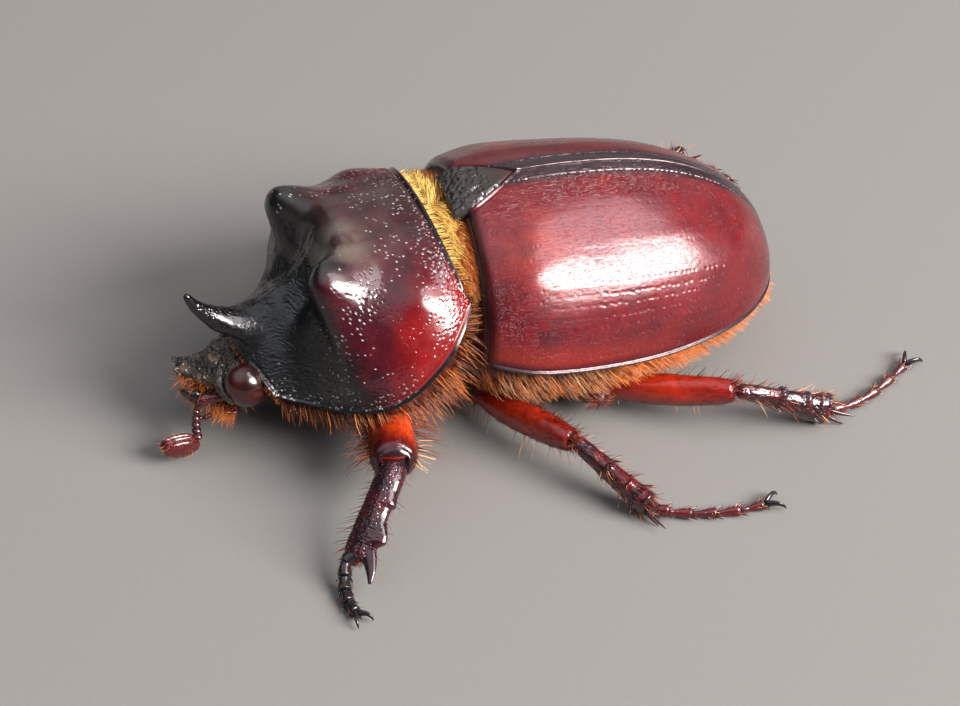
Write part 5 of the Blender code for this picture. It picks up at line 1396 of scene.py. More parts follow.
# ---------------------------------------------------------------- head, eyes, mouth and feelers
def merge(parts):
    """Joins (verts, quads, tris, data) shells into one mesh."""
    V, Q, T, D, off = [], [], [], {}, 0
    for v, q, t, d in parts:
        v = np.asarray(v, float).reshape(-1, 3)
        V.append(v)
        if q is not None and len(q):
            Q.append(np.asarray(q) + off)
        if t is not None and len(t):
            T.append(np.asarray(t) + off)
        for k, x in d.items():
            D.setdefault(k, []).append(np.broadcast_to(np.asarray(x, float).ravel(), (len(v),)) if np.size(x) == 1 else np.asarray(x, float).ravel())
        off += len(v)
    return (np.concatenate(V), np.concatenate(Q) if Q else None, np.concatenate(T) if T else None,
            {k: np.concatenate(x) for k, x in D.items()})


def shell(rings, **data):
    """Closed tube of rings as a part for merge(); data are arrays (rings, sides) or numbers."""
    rings = np.asarray(rings, float)
    v, q, t = closed_rings(rings)
    q, t = outward(v, q, t)
    d = {}
    for k, x in data.items():
        x = np.broadcast_to(np.asarray(x, float), rings.shape[:2])
        d[k] = np.concatenate([x.reshape(-1), [x[0].mean(), x[-1].mean()]])
    return v, q, t, d


def cone(base, tip, r0, r1=0.02, bend=(0, 0, 0), sides=8, n=7, flat=1.0, broad=(0, 0, 1), **data):
    """Tapering, slightly bent spine from base to tip."""
    base, tip, bend = (np.asarray(q, float) for q in (base, tip, bend))
    u = np.linspace(0, 1, n)[:, None]
    path = base + (tip - base) * u + bend * (u * (1 - u)) * 4
    tan = unit(np.gradient(path, axis=0))
    b = np.asarray(broad, float)
    b = unit(b - (tan @ b)[:, None] * tan)
    c = np.cross(tan, b)
    r = r0 * (1 - u) ** 0.8 + r1
    a = np.linspace(0, 2 * math.pi, sides, endpoint=False)
    rings = path[:, None] + r[:, None] * (np.cos(a)[None, :, None] * b[:, None] + flat * np.sin(a)[None, :, None] * c[:, None])
    return shell(rings, **data)


def to_object(name, parts, material, slot, replaces=()):
    v, q, t, d = merge(parts)
    return object_from(name, v, q, t, material, slot, replaces, d)


def head_piece():
    ys = np.concatenate([np.linspace(1.9, -3.9, 104), np.linspace(-3.96, -4.34, 12)])
    n = 168
    R = np.array([head_ring(max(y, -4.3), n) for y in ys])
    R[:, :, 1] = ys[:, None]
    # rounded nose: the front shrinks over the last stretch
    k = np.clip((-4.0 - ys) / 0.34, 0, 0.999)
    f = np.sqrt(1 - k ** 2)[:, None]
    mid = (R[..., 2].max(1) + R[..., 2].min(1))[:, None] / 2
    R[..., 2] = mid + (R[..., 2] - mid) * f
    x = R[..., 0]
    top = np.sin(np.linspace(0, 2 * math.pi, n, endpoint=False))[None, :]
    # two lobes with a notch between them, turned up in front
    front = step(ys, -3.2, -4.3)[:, None]
    R[..., 1] += front * (0.42 * bell(x, 0.32) - 0.12 * bell(np.abs(x) - 0.62, 0.3))
    R[..., 2] += front * 0.28 * bell(np.abs(x) - 0.66, 0.36) * (top > -0.2)
    # raised side rims of the nose and a cross ridge behind it
    rim = step(ys, -1.6, -2.6)[:, None]
    edge = np.abs(x) / (np.abs(x).max(1, keepdims=True) + 1e-6)
    up = step(top, 0.0, 0.5)
    R[..., 2] += rim * up * 0.22 * bell(edge - 0.93, 0.14)
    R[..., 2] += up * 0.42 * bell(np.hypot(np.abs(x) - 0.62, (R[..., 1] + 1.75)), 0.42)
    R[..., 2] += up * 0.15 * bell(R[..., 1] + 1.75, 0.28) * bell(x, 1.6)
    R[..., 2] -= up * 0.18 * bell(np.hypot(x, R[..., 1] + 2.9), 0.9)
    N = grid_normals(R, wrap=True)
    c = R.mean(1, keepdims=True)
    if ((R - c) * N)[10:60].sum() < 0:
        N = -N
    d = 0.07 * noise(R, 0.42, 71, 3) + 0.04 * noise(R, 0.16, 72)
    rng = np.random.default_rng(31)
    spots = R[rng.integers(8, 110, 1300), rng.integers(0, n, 1300)]
    d -= dent(R, spots, rng.uniform(0.08, 0.16, 1300), rng.uniform(0.05, 0.12, 1300), 0.25)
    d *= step(ys, 1.6, 1.0)[:, None]
    R = R + N * d[..., None]
    parts = [shell(head_world(R))]
    # narrow plate in front of each eye
    for s in (1, -1):
        pts = [(1.9 * s, -1.2, 1.1), (2.6 * s, -1.6, 0.85), (3.25 * s, -1.7, 0.35), (3.7 * s, -1.55, -0.3), (3.8 * s, -1.35, -0.85)]
        r = limb(pts, [(0.3, 0.3), (0.34, 0.26), (0.3, 0.2), (0.2, 0.15), (0.1, 0.08)], (0, 1, 0), 48, 24)
        r += 0.06 * noise(r, 0.25, 74, 3)[..., None]
        parts.append(shell(head_world(r)))
    to_object("head", parts, M_HEAD, "horn_black", ("head",))


head_piece()

for side_, name_ in ((1, "left"), (-1, "right")):
    a_ = np.linspace(0.02, math.pi - 0.02, 56)
    b_ = np.linspace(0, 2 * math.pi, 84, endpoint=False)
    A_, B_ = np.meshgrid(a_, b_, indexing="ij")
    r_ = np.stack([EYE_R[0] * np.sin(A_) * np.cos(B_), EYE_R[1] * np.sin(A_) * np.sin(B_), EYE_R[2] * np.cos(A_)], -1)
    r_ += np.array((EYE[0] * side_, EYE[1], EYE[2]))
    tube_piece("eye_" + name_, head_world(r_), M_EYE, "eye_brown", ("eye_" + name_,))


def mouth_piece():
    parts = []
    rings = []
    for u in np.linspace(0, 1, 30):
        k = [0, 0.25, 0.5, 0.78, 1.0]
        y = np.interp(u, k, [-1.9, -2.6, -3.2, -3.8, -4.2])
        w, zt, zb = (float(interp(u, k, v)) for v in ([1.5, 1.6, 1.35, 1.0, 0.7], [-2.5, -1.9, -0.9, 0.2, 0.9], [-3.4, -3.1, -2.4, -1.3, -0.3]))
        f = math.sqrt(max(0.02, 1 - max(0, (u - 0.85) / 0.16) ** 2)) if u > 0.85 else 1.0
        aa = np.linspace(0, 2 * math.pi, 48, endpoint=False)
        rings.append(np.stack([w * f * np.cos(aa), 0 * aa + y, (zt + zb) / 2 + (zt - zb) / 2 * f * np.sin(aa)], -1))
    r = np.array(rings)
    r += 0.05 * noise(r, 0.4, 76, 2)[..., None]
    r[..., 2] -= 0.12 * bell(r[..., 0], 0.12) * (np.arange(30) > 4)[:, None]
    parts.append(shell(head_world(r), warm=0.4))
    # palps: short jointed feelers of the mouth
    for s in (1, -1):
        for pts, rr in (([(1.2 * s, -3.1, -1.6), (1.6 * s, -3.6, -2.0), (1.7 * s, -4.2, -2.0), (1.4 * s, -4.8, -1.7)], 0.19),):
            path, kk, _ = smooth_path(pts, 60)
            m = 3
            for j in range(m):
                seg = path[int(j / m * 59):int((j + 1) / m * 59) + 1]
                q = [tuple(p) for p in seg[:: max(1, len(seg) // 4)]]
                parts.append(shell(head_world(limb(q, [(rr * 0.7, rr * 0.7)] + [(rr, rr)] * (len(q) - 1), (1, 0, 0), 14, 14)), warm=0.3))
    to_object("mouthparts", parts, M_LEGDARK, "body_dark", ("mouthparts",))
    for s, nm in ((1, "left"), (-1, "right")):
        pts = [(1.55 * s, -2.7, -0.8), (1.78 * s, -3.5, -0.42), (1.62 * s, -4.2, 0.1), (1.05 * s, -4.82, 0.62)]
        r = limb(pts, [(0.5, 0.36), (0.52, 0.36), (0.42, 0.3), (0.2, 0.14)], (0, 0, 1), 44, 24,
                 shape=lambda k: (0.14 * bell(k - 0.72, 0.06) + 0.1 * bell(k - 0.5, 0.05), 0))
        to_object("mandible_" + nm, [shell(head_world(r))], M_HORN, "horn_black", ("mandible_" + nm,))


mouth_piece()

ANT = {
    "left": dict(stem=[(2.35, -17.6, -2.05), (2.15, -18.5, -1.6), (1.85, -19.5, -1.5), (1.75, -20.1, -1.9), (1.78, -20.7, -2.85),
                       (1.85, -21.2, -4.0)],
                 club=[(1.95, -21.45, -4.75), (2.1, -22.2, -4.2), (2.25, -23.0, -3.6), (2.3, -23.75, -3.0)]),
    "right": dict(stem=[(-2.6, -17.1, -2.9), (-2.5, -17.9, -3.3), (-2.35, -18.2, -4.0), (-2.3, -17.9, -4.7), (-2.35, -17.3, -5.2)],
                  club=[(-2.45, -16.8, -5.7), (-2.6, -16.1, -5.9), (-2.7, -15.3, -6.0), (-2.75, -14.6, -6.0)]),
}
ANT_HAIR = []


def feeler(name, d):
    path, kk, _ = smooth_path(d["stem"] + [tuple(np.array(d["club"][0]) * 0.7 + np.array(d["stem"][-1]) * 0.3)], 120)
    parts = []
    # long first joint
    q = [tuple(path[i]) for i in (0, 12, 26, 40, 52)]
    parts.append(shell(pro_world(limb(q, [(0.24, 0.24), (0.3, 0.3), (0.36, 0.34), (0.5, 0.46), (0.4, 0.38)], (0, 0, 1), 40, 24)), warm=0.3))
    # small bead joints
    cuts = np.linspace(50, 119, 7).astype(int)
    for j in range(6):
        seg = [tuple(path[i]) for i in np.linspace(cuts[j] - 1, cuts[j + 1], 4).astype(int)]
        r = 0.25 + 0.02 * j
        parts.append(shell(pro_world(limb(seg, [(r * 0.62, r * 0.62), (r, r), (r * 1.05, r * 1.05), (r * 0.8, r * 0.8)], (1, 0, 0), 18, 18)),
                           warm=0.12))
    to_object("antenna_" + name, parts, M_LEGDARK, "leg_red", ("antenna_" + name,))
    # club of three plates laid together
    club = np.array(d["club"])
    axis = unit(club[-1] - club[0])
    broad = np.array((0, 0.6, 1.0))
    broad = unit(broad - broad @ axis * axis)
    thin = np.cross(axis, broad)
    parts = []
    for j, off in enumerate((-0.36, 0.0, 0.36)):
        pts = [tuple(p + thin * off * g + broad * 0.03 * (j - 1)) for p, g in zip(club, (0.5, 1.0, 1.0, 0.85))]
        w = 0.78 if j == 1 else 0.7
        r = limb(pts, [(0.34, 0.2), (w, 0.27), (w * 0.98, 0.27), (0.4, 0.2)], tuple(broad), 52, 36, 0.9, 0.9)
        r += 0.012 * noise(r, 0.2, 79, 2)[..., None]
        parts.append(shell(pro_world(r), warm=0.38 - 0.1 * (j != 1)))
        ANT_HAIR.append((r, name))
    to_object("antenna_club_" + name, parts, M_LEGDARK, "leg_red", ("antenna_club_" + name,))


for name_, d_ in ANT.items():
    feeler(name_, d_)


# ---------------------------------------------------------------- legs
RNG_LEG = np.random.default_rng(77)
LEG_CELLS = {}


def cell(leg_name, part):
    """Corner and size of the map cell of one part of one leg."""
    k = list(LEGS).index(leg_name) * 4 + part
    return (k % 5) * 0.2, (k // 5) * 0.2, 0.2


def leg_hairs(skin, coat, n, u, v, out, lie, length, radius, tone, spread=0.12, droop=(0, 0, 0)):
    """n hairs over the part of a limb given by the ranges u and v; out and lie weigh the
    outward and the downward-the-limb direction."""
    r = RNG_LEG
    a = r.uniform(*u, n) if isinstance(u, tuple) else u
    b = r.uniform(*v, n) if isinstance(v, tuple) else v
    n = len(a)
    P, N, du, dv, uv = skin.at(a, b)
    coat.add(P, out * N + lie * du + r.normal(0, spread, (n, 3)), r.uniform(*length, n), r.uniform(0.8, 1.2, n) * radius,
             r.uniform(*tone, n), droop, uv)


def leg(name, L):
    front = name.startswith("front")
    side = 1 if name.endswith("left") else -1
    fem = np.array(L["femur"], float)
    d = unit(fem[0] - fem[1])
    start = fem[0] + d * 1.9
    # coxa
    c, r = L["coxa"]
    a, b = np.meshgrid(np.linspace(0.05, math.pi - 0.05, 36), np.linspace(0, 2 * math.pi, 54, endpoint=False), indexing="ij")
    R = np.stack([r[0] * np.cos(a), r[1] * np.sin(a) * np.cos(b), r[2] * np.sin(a) * np.sin(b)], -1) + np.array(c)
    R += 0.05 * noise(R, 0.5, 81, 3)[..., None]
    tube_piece("coxa_" + name, R, M_BODY, "body_dark", ("coxa_" + name,))
    K = Skin(R, True, c, cell(name, 0))
    leg_hairs(K, COAT_LEGS, 700, (0.05, 0.97), (0.0, 1.0), 0.5, 0.6, (0.5, 1.2), 0.02, (0.1, 0.8), 0.2)

    # femur
    pts = [tuple(start)] + [tuple(p) for p in fem]
    rr = [(L["femur_r"][0][0] * 0.85, L["femur_r"][0][1] * 0.85)] + list(L["femur_r"])
    rr = [(p * 1.02, q * 1.02) for p, q in rr]
    if front:
        rr = [(0.9, 1.0), (1.1, 1.3), (1.45, 1.5), (1.7, 1.62), (1.62, 1.64), (1.32, 1.6)]
    nr, ns = (132, 96) if front else (110, 72)
    F = limb(pts, rr, (0, 0, 1), nr, ns, cap_b=0.75)
    u = np.linspace(0, 1, nr)[:, None]
    ctr = F.mean(1, keepdims=True)
    out = unit(F - ctr)
    tan_e = unit(fem[-1] - fem[-2])
    lat_e = unit(np.cross(tan_e, (0, 0, 1)))
    ver_e = np.cross(lat_e, tan_e)
    rel = F - fem[-1]
    lat, ver = np.abs(rel @ lat_e), rel @ ver_e
    dd = 0.035 * noise(F, 0.9, 83, 2) + 0.012 * noise(F, 0.3, 84, 2)
    # knee: a shallow groove, then two lobes with the socket between them
    dd += -0.05 * bell(u - 0.86, 0.012) + 0.04 * bell(u - 0.9, 0.02)
    many = 420 if front else 300
    spots = F[RNG_LEG.integers(12, nr - 8, many), RNG_LEG.integers(0, ns, many)]
    dd -= dent(F, spots, RNG_LEG.uniform(0.06, 0.11, many), RNG_LEG.uniform(0.03, 0.055, many), 0.15)
    F = F + out * dd[..., None]
    wide = 0.85 if front else 0.5
    slot = step(lat, wide + 0.12, wide - 0.08) * step(ver, 0.62, 0.34) * step(u, 0.84, 0.93)
    F = F - tan_e * (0.3 if front else 0.3) * slot[..., None]
    F = F + tan_e * 0.22 * (step(lat, wide, wide + 0.3) * step(u, 0.86, 0.96))[..., None]
    rim = np.clip(4 * slot * (1 - slot), 0, 1) * step(u, 0.8, 0.9) * (step(ver, 0.1, 0.35) * step(lat, 0.9, 0.55) if front else 1)
    dark = (0.9 * bell(u - 0.93, 0.05) + 0.25 * bell(u - 0.8, 0.14) + 0.45 * step(u, 0.3, 0.05)) * np.ones(F.shape[:2])
    warm = 0.16 * bell(u - 0.5, 0.25) * np.ones(F.shape[:2])
    if front:
        # painted light and shade: darker on the front-facing and lower sides, orange where the femur faces the tail and
        # up, as if lit from behind and above
        back = step(out[..., 1], -0.75, 0.6)
        up = step(out[..., 2], -0.6, 0.4)
        one = np.ones(F.shape[:2])
        dark = np.maximum.reduce([(0.35 * step(u, 0.5, 0.72) + 0.6 * step(u, 0.7, 0.9)) * one, 0.9 * (1 - back) * step(u, 0.5, 0.75), 0.4 * (1 - up) * one])
        warm = step(u, 0.84, 0.56) * (0.5 + 0.5 * back) * (0.5 + 0.5 * up)
    else:
        # painted shade: the underside of the femur is painted darker
        below = step(out[..., 2], 0.1, -0.8)
        dark = np.maximum(dark, 0.55 * below)
    dark = dark * (1 - rim)
    warm = np.maximum(warm * (1 - 0.6 * dark), rim * (0.95 if front else 0.4))
    parts = [shell(F, dark=np.clip(dark + 0.12 * noise(F, 0.7, 85, 2), 0, 1), warm=np.clip(warm, 0, 1))]
    to_object("femur_" + name, parts, M_LEG, "leg_red", ("femur_" + name,))
    # fine lying hairs, and long ones in rows on the edges
    K = Skin(F, True, None, cell(name, 1))
    if front:
        leg_hairs(K, COAT_LEGS, 300, (0.12, 0.8), (0.5, 1.25), 0.18, 1.0, (0.6, 1.3), 0.014, (0.0, 0.55), 0.09)
        leg_hairs(K, COAT_LEGS, 150, (0.25, 0.86), (0.2, 0.5), 0.5, 0.8, (0.6, 1.3), 0.018, (0.2, 0.7), 0.15)
        for k, ln in ((0.06, (1.6, 3.0)), (0.75, (1.5, 2.9))):
            leg_hairs(K, COAT_LEGS, 60, (0.18, 0.72), (k - 0.05, k + 0.06) if k > 0.2 else (0.2, 0.3), 0.9, 0.45, ln, 0.026, (0.15, 0.8), 0.14,
                      (0.05, 0.1, -0.18))
        leg_hairs(K, COAT_LEGS, 90, (0.3, 0.8), (0.2, 0.3) if side > 0 else (0.7, 0.8), 0.8, 0.5, (0.8, 1.7), 0.02, (0.35, 0.9), 0.15, (0, 0, -0.1))
        leg_hairs(K, COAT_PALE, 12, np.linspace(0.7, 0.88, 12), (0.72, 0.8) if side > 0 else (0.2, 0.28), 0.9, 0.35, (1.0, 1.5), 0.05, (0.6, 1.0), 0.1, (0, 0, -0.12))
    else:
        leg_hairs(K, COAT_LEGS, 520 if name.startswith("mid") else 260, (0.12, 0.93), (0.0, 1.0), 0.2, 1.0, (0.35, 0.9), 0.013, (0.0, 0.55), 0.12)
        if name.startswith("mid"):
            leg_hairs(K, COAT_LEGS, 110, (0.15, 0.92), (0.9, 1.1), 0.75, 0.6, (0.6, 1.5), 0.017, (0.1, 0.9), 0.16)
        leg_hairs(K, COAT_PALE, 34 if name.startswith("mid") else 12, (0.2, 0.86), (0.38, 0.52), 0.95, 0.2,
                  (0.8, 1.9) if name.startswith("mid") else (0.5, 1.0), 0.022, (0.2, 0.9), 0.12, (0, 0, -0.15))
        leg_hairs(K, COAT_LEGS, 60, (0.2, 0.92), (0.88, 1.04), 0.8, 0.5, (0.7, 1.4), 0.022, (0.1, 0.8), 0.14)
        leg_hairs(K, COAT_LEGS, 46, (0.82, 0.95), (0.0, 1.0), 0.75, 0.7, (0.5, 1.0), 0.026, (0.2, 0.9), 0.12)

    # tibia
    tib = np.array(L["tibia"], float)
    lead = unit(tib[0] - tib[1])
    pts = [tuple(tib[0] + lead * (0.42 if front else 0.45))] + [tuple(p) for p in tib]
    fat = 1.0 if front else 1.17
    rr = [(0.5, 0.48)] + [(p * fat, q * fat) for p, q in L["tibia_r"]]
    if front:
        rr = [(0.72, 0.66), (0.95, 0.8), (1.08, 0.85), (1.08, 0.72), (1.18, 0.6), (1.08, 0.46)]
    broad = (0.25 * side, 0.85, 0.45) if front else (0.0, -0.35, 0.93)
    if front:
        scallop = lambda k, at, w, h: h * (step(k, at - w, at) if k < at else step(k, at + w * 0.3, at))
        shape = lambda k: (scallop(k, 0.43, 0.13, 0.25) + scallop(k, 0.77, 0.24, 0.52) + 0.25 * step(k, 0.86, 1.0), 0.05 * bell(k - 0.9, 0.1))
        T = limb(pts, rr, broad, 210, 110, 0.8, 0.5, shape)
    else:
        ribs = lambda k: 0.16 * bell(k - 0.45, 0.025) + 0.2 * bell(k - 0.72, 0.025) + 0.14 * bell(k - 0.97, 0.03)
        shape = lambda k: (ribs(k), ribs(k) * 0.7)
        T = limb(pts, rr, broad, 170, 84, 0.8, 0.3, shape)
    n, m = T.shape[:2]
    u = np.linspace(0, 1, n)[:, None]
    ctr = T.mean(1, keepdims=True)
    out = unit(T - ctr)
    ang = np.linspace(0, 2 * math.pi, m, endpoint=False)[None, :]
    dd = 0.03 * noise(T, 0.5, 87, 2)
    if front:
        # two raised rows of pits along the upper face
        sgn_ = 1 if side > 0 else -1
        for a0 in (0.20, 0.38):
            dd += 0.07 * bell((((ang / (2 * math.pi) * sgn_) % 1.0) - a0), 0.035) * step(u, 0.04, 0.12) * step(u, 0.97, 0.86)
        rows = [T[int(q * (n - 1)), int(sgn_ * (a0 + RNG_LEG.normal(0, 0.014)) * m) % m]
                for a0 in (0.16, 0.195, 0.23, 0.34, 0.375, 0.41, 0.7, 0.8) for q in np.arange(0.05, 0.96, 0.021)]
        rows += [T[int(q * (n - 1)), int(sgn_ * RNG_LEG.uniform(0.12, 0.44) * m) % m] for q in RNG_LEG.uniform(0.04, 0.3, 90)]
        spots = np.array(rows)
        dd -= dent(T, spots, RNG_LEG.uniform(0.075, 0.115, len(spots)), RNG_LEG.uniform(0.05, 0.085, len(spots)), 0.25)
    else:
        ridge = np.sin(ang * 1.0 + 1.2)
        dd += 0.05 * bell(u - 0.45 - 0.03 * ridge, 0.018) + 0.06 * bell(u - 0.72 - 0.03 * ridge, 0.018)
        for a0 in (0.0, 0.25, 0.5, 0.75):
            dd += 0.035 * bell(((ang / (2 * math.pi) - a0 + 0.5) % 1.0) - 0.5, 0.045) * step(u, 0.1, 0.25)
        spots = T[RNG_LEG.integers(10, n - 6, 330), RNG_LEG.integers(0, m, 330)]
        dd -= dent(T, spots, RNG_LEG.uniform(0.06, 0.11, 330), RNG_LEG.uniform(0.035, 0.065, 330), 0.2)
    T = T + out * dd[..., None]
    warm = (0.16 if front else 0.5) * step(noise(T, 1.0, 89, 2), -0.2, 0.5) * step(u, 0.98, 0.8)
    parts = [shell(T, warm=warm)]
    axis = unit(tib[-1] - tib[0])
    bv = np.array(broad, float)
    bv = unit(bv - bv @ axis * axis)
    nv = np.cross(axis, bv)
    end = tib[-1]
    if front:
        # the end runs out into the last tooth
        base = end - axis * 1.1 + bv * 0.35
        tip = end + axis * 1.35 + bv * 1.75
        parts.append(cone(base, tip, 0.62, 0.09, bend=bv * 0.22, sides=40, n=34, flat=0.62, broad=tuple(axis), warm=0.0))
        # movable spur by the foot
        parts.append(cone(end - bv * 0.35 + axis * 0.1, end - bv * 0.55 + axis * 1.35 - np.array((0, 0, 0.1)), 0.2, 0.04, sides=12, n=12, warm=0.2))
        K = Skin(T, True, None, cell(name, 2))
        leg_hairs(K, COAT_LEGS, 46, np.linspace(0.1, 0.97, 46), (0.47, 0.54), 0.8, 0.45, (0.7, 1.5), 0.027, (0.5, 1.0), 0.12, (0, 0, -0.05))
        leg_hairs(K, COAT_LEGS, 26, np.linspace(0.2, 0.96, 26), (-0.04, 0.05), 0.8, 0.5, (0.5, 1.0), 0.022, (0.2, 0.8), 0.15)
        leg_hairs(K, COAT_LEGS, 60, (0.9, 0.985), (0.0, 1.0), 0.35, 0.9, (0.45, 0.9), 0.022, (0.2, 0.9), 0.12)
    else:
        for k in (0.45, 0.72):
            i = int(k * (n - 1))
            for j in range(0, m, 4):
                p = T[i, j]
                o = unit(p - T[i].mean(0))
                if o[2] < -0.55:
                    continue
                ln = RNG_LEG.uniform(0.4, 0.75)
                parts.append(cone(p - o * 0.08, p + (o * 0.55 + axis * 0.8) * ln, 0.085, 0.015, sides=7, n=6, warm=0.1))
        for j in range(0, m, 3):
            p = T[n - 10, j]
            o = unit(p - T[n - 10].mean(0))
            ln = RNG_LEG.uniform(0.35, 0.6) * (0.5 if o[2] < -0.5 else 1)
            parts.append(cone(p - o * 0.1, p + (o * 0.35 + axis * 0.9) * ln, 0.1, 0.02, sides=7, n=6, warm=0.1))
        for sgn, ln in ((1, 1.9), (-1, 1.45)):
            base = end + bv * 0.45 * sgn * 0.6 - np.array((0, 0, 0.1)) + nv * 0.35
            tip = base + axis * ln + nv * 0.25 + bv * 0.25 * sgn
            tip[2] = max(tip[2], FLOOR + 0.12)
            parts.append(cone(base, tip, 0.19, 0.03, bend=nv * 0.06, sides=12, n=12, flat=0.7, warm=0.15))
        K = Skin(T, True, None, cell(name, 2))
        leg_hairs(K, COAT_LEGS, 90, (0.1, 0.95), (-0.3, 0.3), 0.65, 0.7, (0.5, 1.2), 0.026, (0.1, 0.9), 0.12)
        leg_hairs(K, COAT_PALE, 26, (0.15, 0.97), (-0.3, 0.35), 0.6, 0.75, (0.6, 1.3), 0.03, (0.1, 0.8), 0.12)
        leg_hairs(K, COAT_LEGS, 60, (0.15, 0.95), (0.3, 0.7), 0.35, 0.9, (0.35, 0.7), 0.02, (0.2, 0.8), 0.1)
    to_object("tibia_" + name, parts, M_LEGDARK, "leg_dark", ("tibia_" + name,))

    # foot of five joints
    back = unit(tib[-1] - tib[-2])
    tar = np.concatenate([[tib[-1] - back * 0.45 * (1 if front else 0.6)], np.array(L["tarsus"])])
    path, kk, _ = smooth_path(tar, 240)
    tan, bb, nn = frames(path, (0, 0, 1))
    parts = []
    for j in range(5):
        i0, i1 = int((j - 0.06) / 5 * 239), int((j + 0.93) / 5 * 239)
        i0 = max(i0, 0)
        idx = np.linspace(i0, i1, 26).astype(int)
        t = np.linspace(0, 1, 26)
        big = 0.52 if (not front and j == 0) else 0.44
        if front:
            rad = 0.5 + 0.12 * step(t, 0.1, 0.92) - 0.03 * j
        elif j == 4:
            rad = 0.2 + 0.24 * step(t, 0.3, 1.0) + 0.0 * t
        else:
            rad = 0.21 + (big - 0.21) * step(t, 0.1, 0.92)
        capn = np.sqrt(np.clip(1 - np.clip((t - 0.9) / 0.105, 0, 1) ** 2, 0.02, 1)) * np.sqrt(np.clip(1 - np.clip((0.08 - t) / 0.085, 0, 1) ** 2, 0.05, 1))
        rad = rad * capn
        a = np.linspace(0, 2 * math.pi, 30, endpoint=False)
        ringw = path[idx][:, None] + rad[:, None, None] * (np.cos(a)[None, :, None] * bb[idx][:, None] + 0.86 * np.sin(a)[None, :, None] * nn[idx][:, None])
        ringw += 0.012 * noise(ringw, 0.25, 91, 2)[..., None]
        ringw[..., 2] = np.maximum(ringw[..., 2], FLOOR + 0.005)
        parts.append(shell(ringw, warm=(0.0 if front else 0.25) + 0.1 * (j % 2)))
        if j < 4 or not front:
            e = path[idx[-3]]
            for sgn in (1, -1):
                for w in (0.55, -0.25):
                    base = e + nn[idx[-3]] * 0.3 * sgn + bb[idx[-3]] * 0.15 * w
                    tip = base + tan[idx[-3]] * RNG_LEG.uniform(0.45, 0.75) + nn[idx[-3]] * 0.3 * sgn + bb[idx[-3]] * 0.2 * w
                    tip[2] = max(tip[2], FLOOR + 0.06)
                    parts.append(cone(base, tip, 0.06, 0.012, sides=6, n=5, warm=0.2))
        K = Skin(ringw, True, None, (cell(name, 3)[0] + 0.04 * j, cell(name, 3)[1], 0.04))
        leg_hairs(K, COAT_LEGS, 8 if front else 16, (0.35, 0.95), (-0.32, 0.32), 0.55, 0.85, (0.3, 0.6), 0.018, (0.1, 0.7), 0.12)
        if not front:
            leg_hairs(K, COAT_PALE, 4, (0.6, 0.95), (-0.3, 0.3), 0.5, 0.9, (0.3, 0.6), 0.022, (0.3, 0.9), 0.1)
    to_object("tarsus_" + name, parts, M_HORN if front else M_LEGDARK, "leg_dark", ("tarsus_" + name,))

    # claws: a hooked pair with a short pin between them
    endp = path[-1]
    dx, dy = L["claws"]
    fwd = unit(np.array([dx, dy, 0.0]))
    lat = np.array([-fwd[1], fwd[0], 0.0])
    base = endp + tan[-1] * 0.02
    parts = []
    q = 0.72 if front else 0.88
    for sgn in (1, -1):
        pts = [base + lat * 0.08 * sgn + (0, 0, 0.05), base + (fwd * 0.42 + lat * 0.34 * sgn + (0, 0, 0.3)) * q, base + (fwd * 0.9 + lat * 0.64 * sgn + (0, 0, 0.34)) * q,
               base + (fwd * 1.28 + lat * 0.8 * sgn + (0, 0, 0.1)) * q, base + (fwd * 1.46 + lat * 0.84 * sgn + (0, 0, -0.2)) * q]
        pts = [np.maximum(p, (-99, -99, FLOOR + 0.07)) for p in pts]
        parts.append(shell(limb([tuple(p) for p in pts], [(0.24, 0.2), (0.24, 0.17), (0.19, 0.13), (0.11, 0.08), (0.03, 0.03)], (0, 0, 1), 36, 16, 0.8, 0.8),
                           warm=0.0, dark=0.9, wine=1.0, pitted=0.0))
    parts.append(cone(base, base + fwd * 0.62 + (0, 0, -0.02), 0.1, 0.03, sides=10, n=8, warm=0.3, dark=0.8, wine=1.0, pitted=0.0))
    to_object("claws_" + name, parts, M_HORN, "horn_black", ("claws_" + name,))


for name_, L_ in LEGS.items():
    leg(name_, L_)


# ---------------------------------------------------------------- underside of the body
LOW_Y = [-3.2, -4.2, -5.5, -7.0, -9.0, -11.0, -12.9, -14.2]
LOW_Z = [-7.3, -8.1, -8.6, -8.6, -8.1, -7.1, -5.9, -4.5]
UT = [0.0, 0.1, 0.25, 0.4, 0.55, 0.7, 0.85, 1.0]


def under_surface(t, a):
    """Underside of the prothorax (own frame): t hind to front, a from pi (right margin) to 2 pi (left)."""
    mx, my, mz = (interp(t, MARGIN_T, k) for k in (MARGIN_X, MARGIN_Y, MARGIN_Z))
    ly, lz = interp(t, UT, LOW_Y), interp(t, UT, LOW_Z)
    e = 2 / 2.1
    c, s = np.cos(a), np.abs(np.sin(a))
    return np.stack([(mx - 0.7) * np.sign(c) * np.abs(c) ** e, my - 0.05 + (ly - my) * s ** 1.2, mz - 0.14 - (mz - lz) * s ** e], -1)


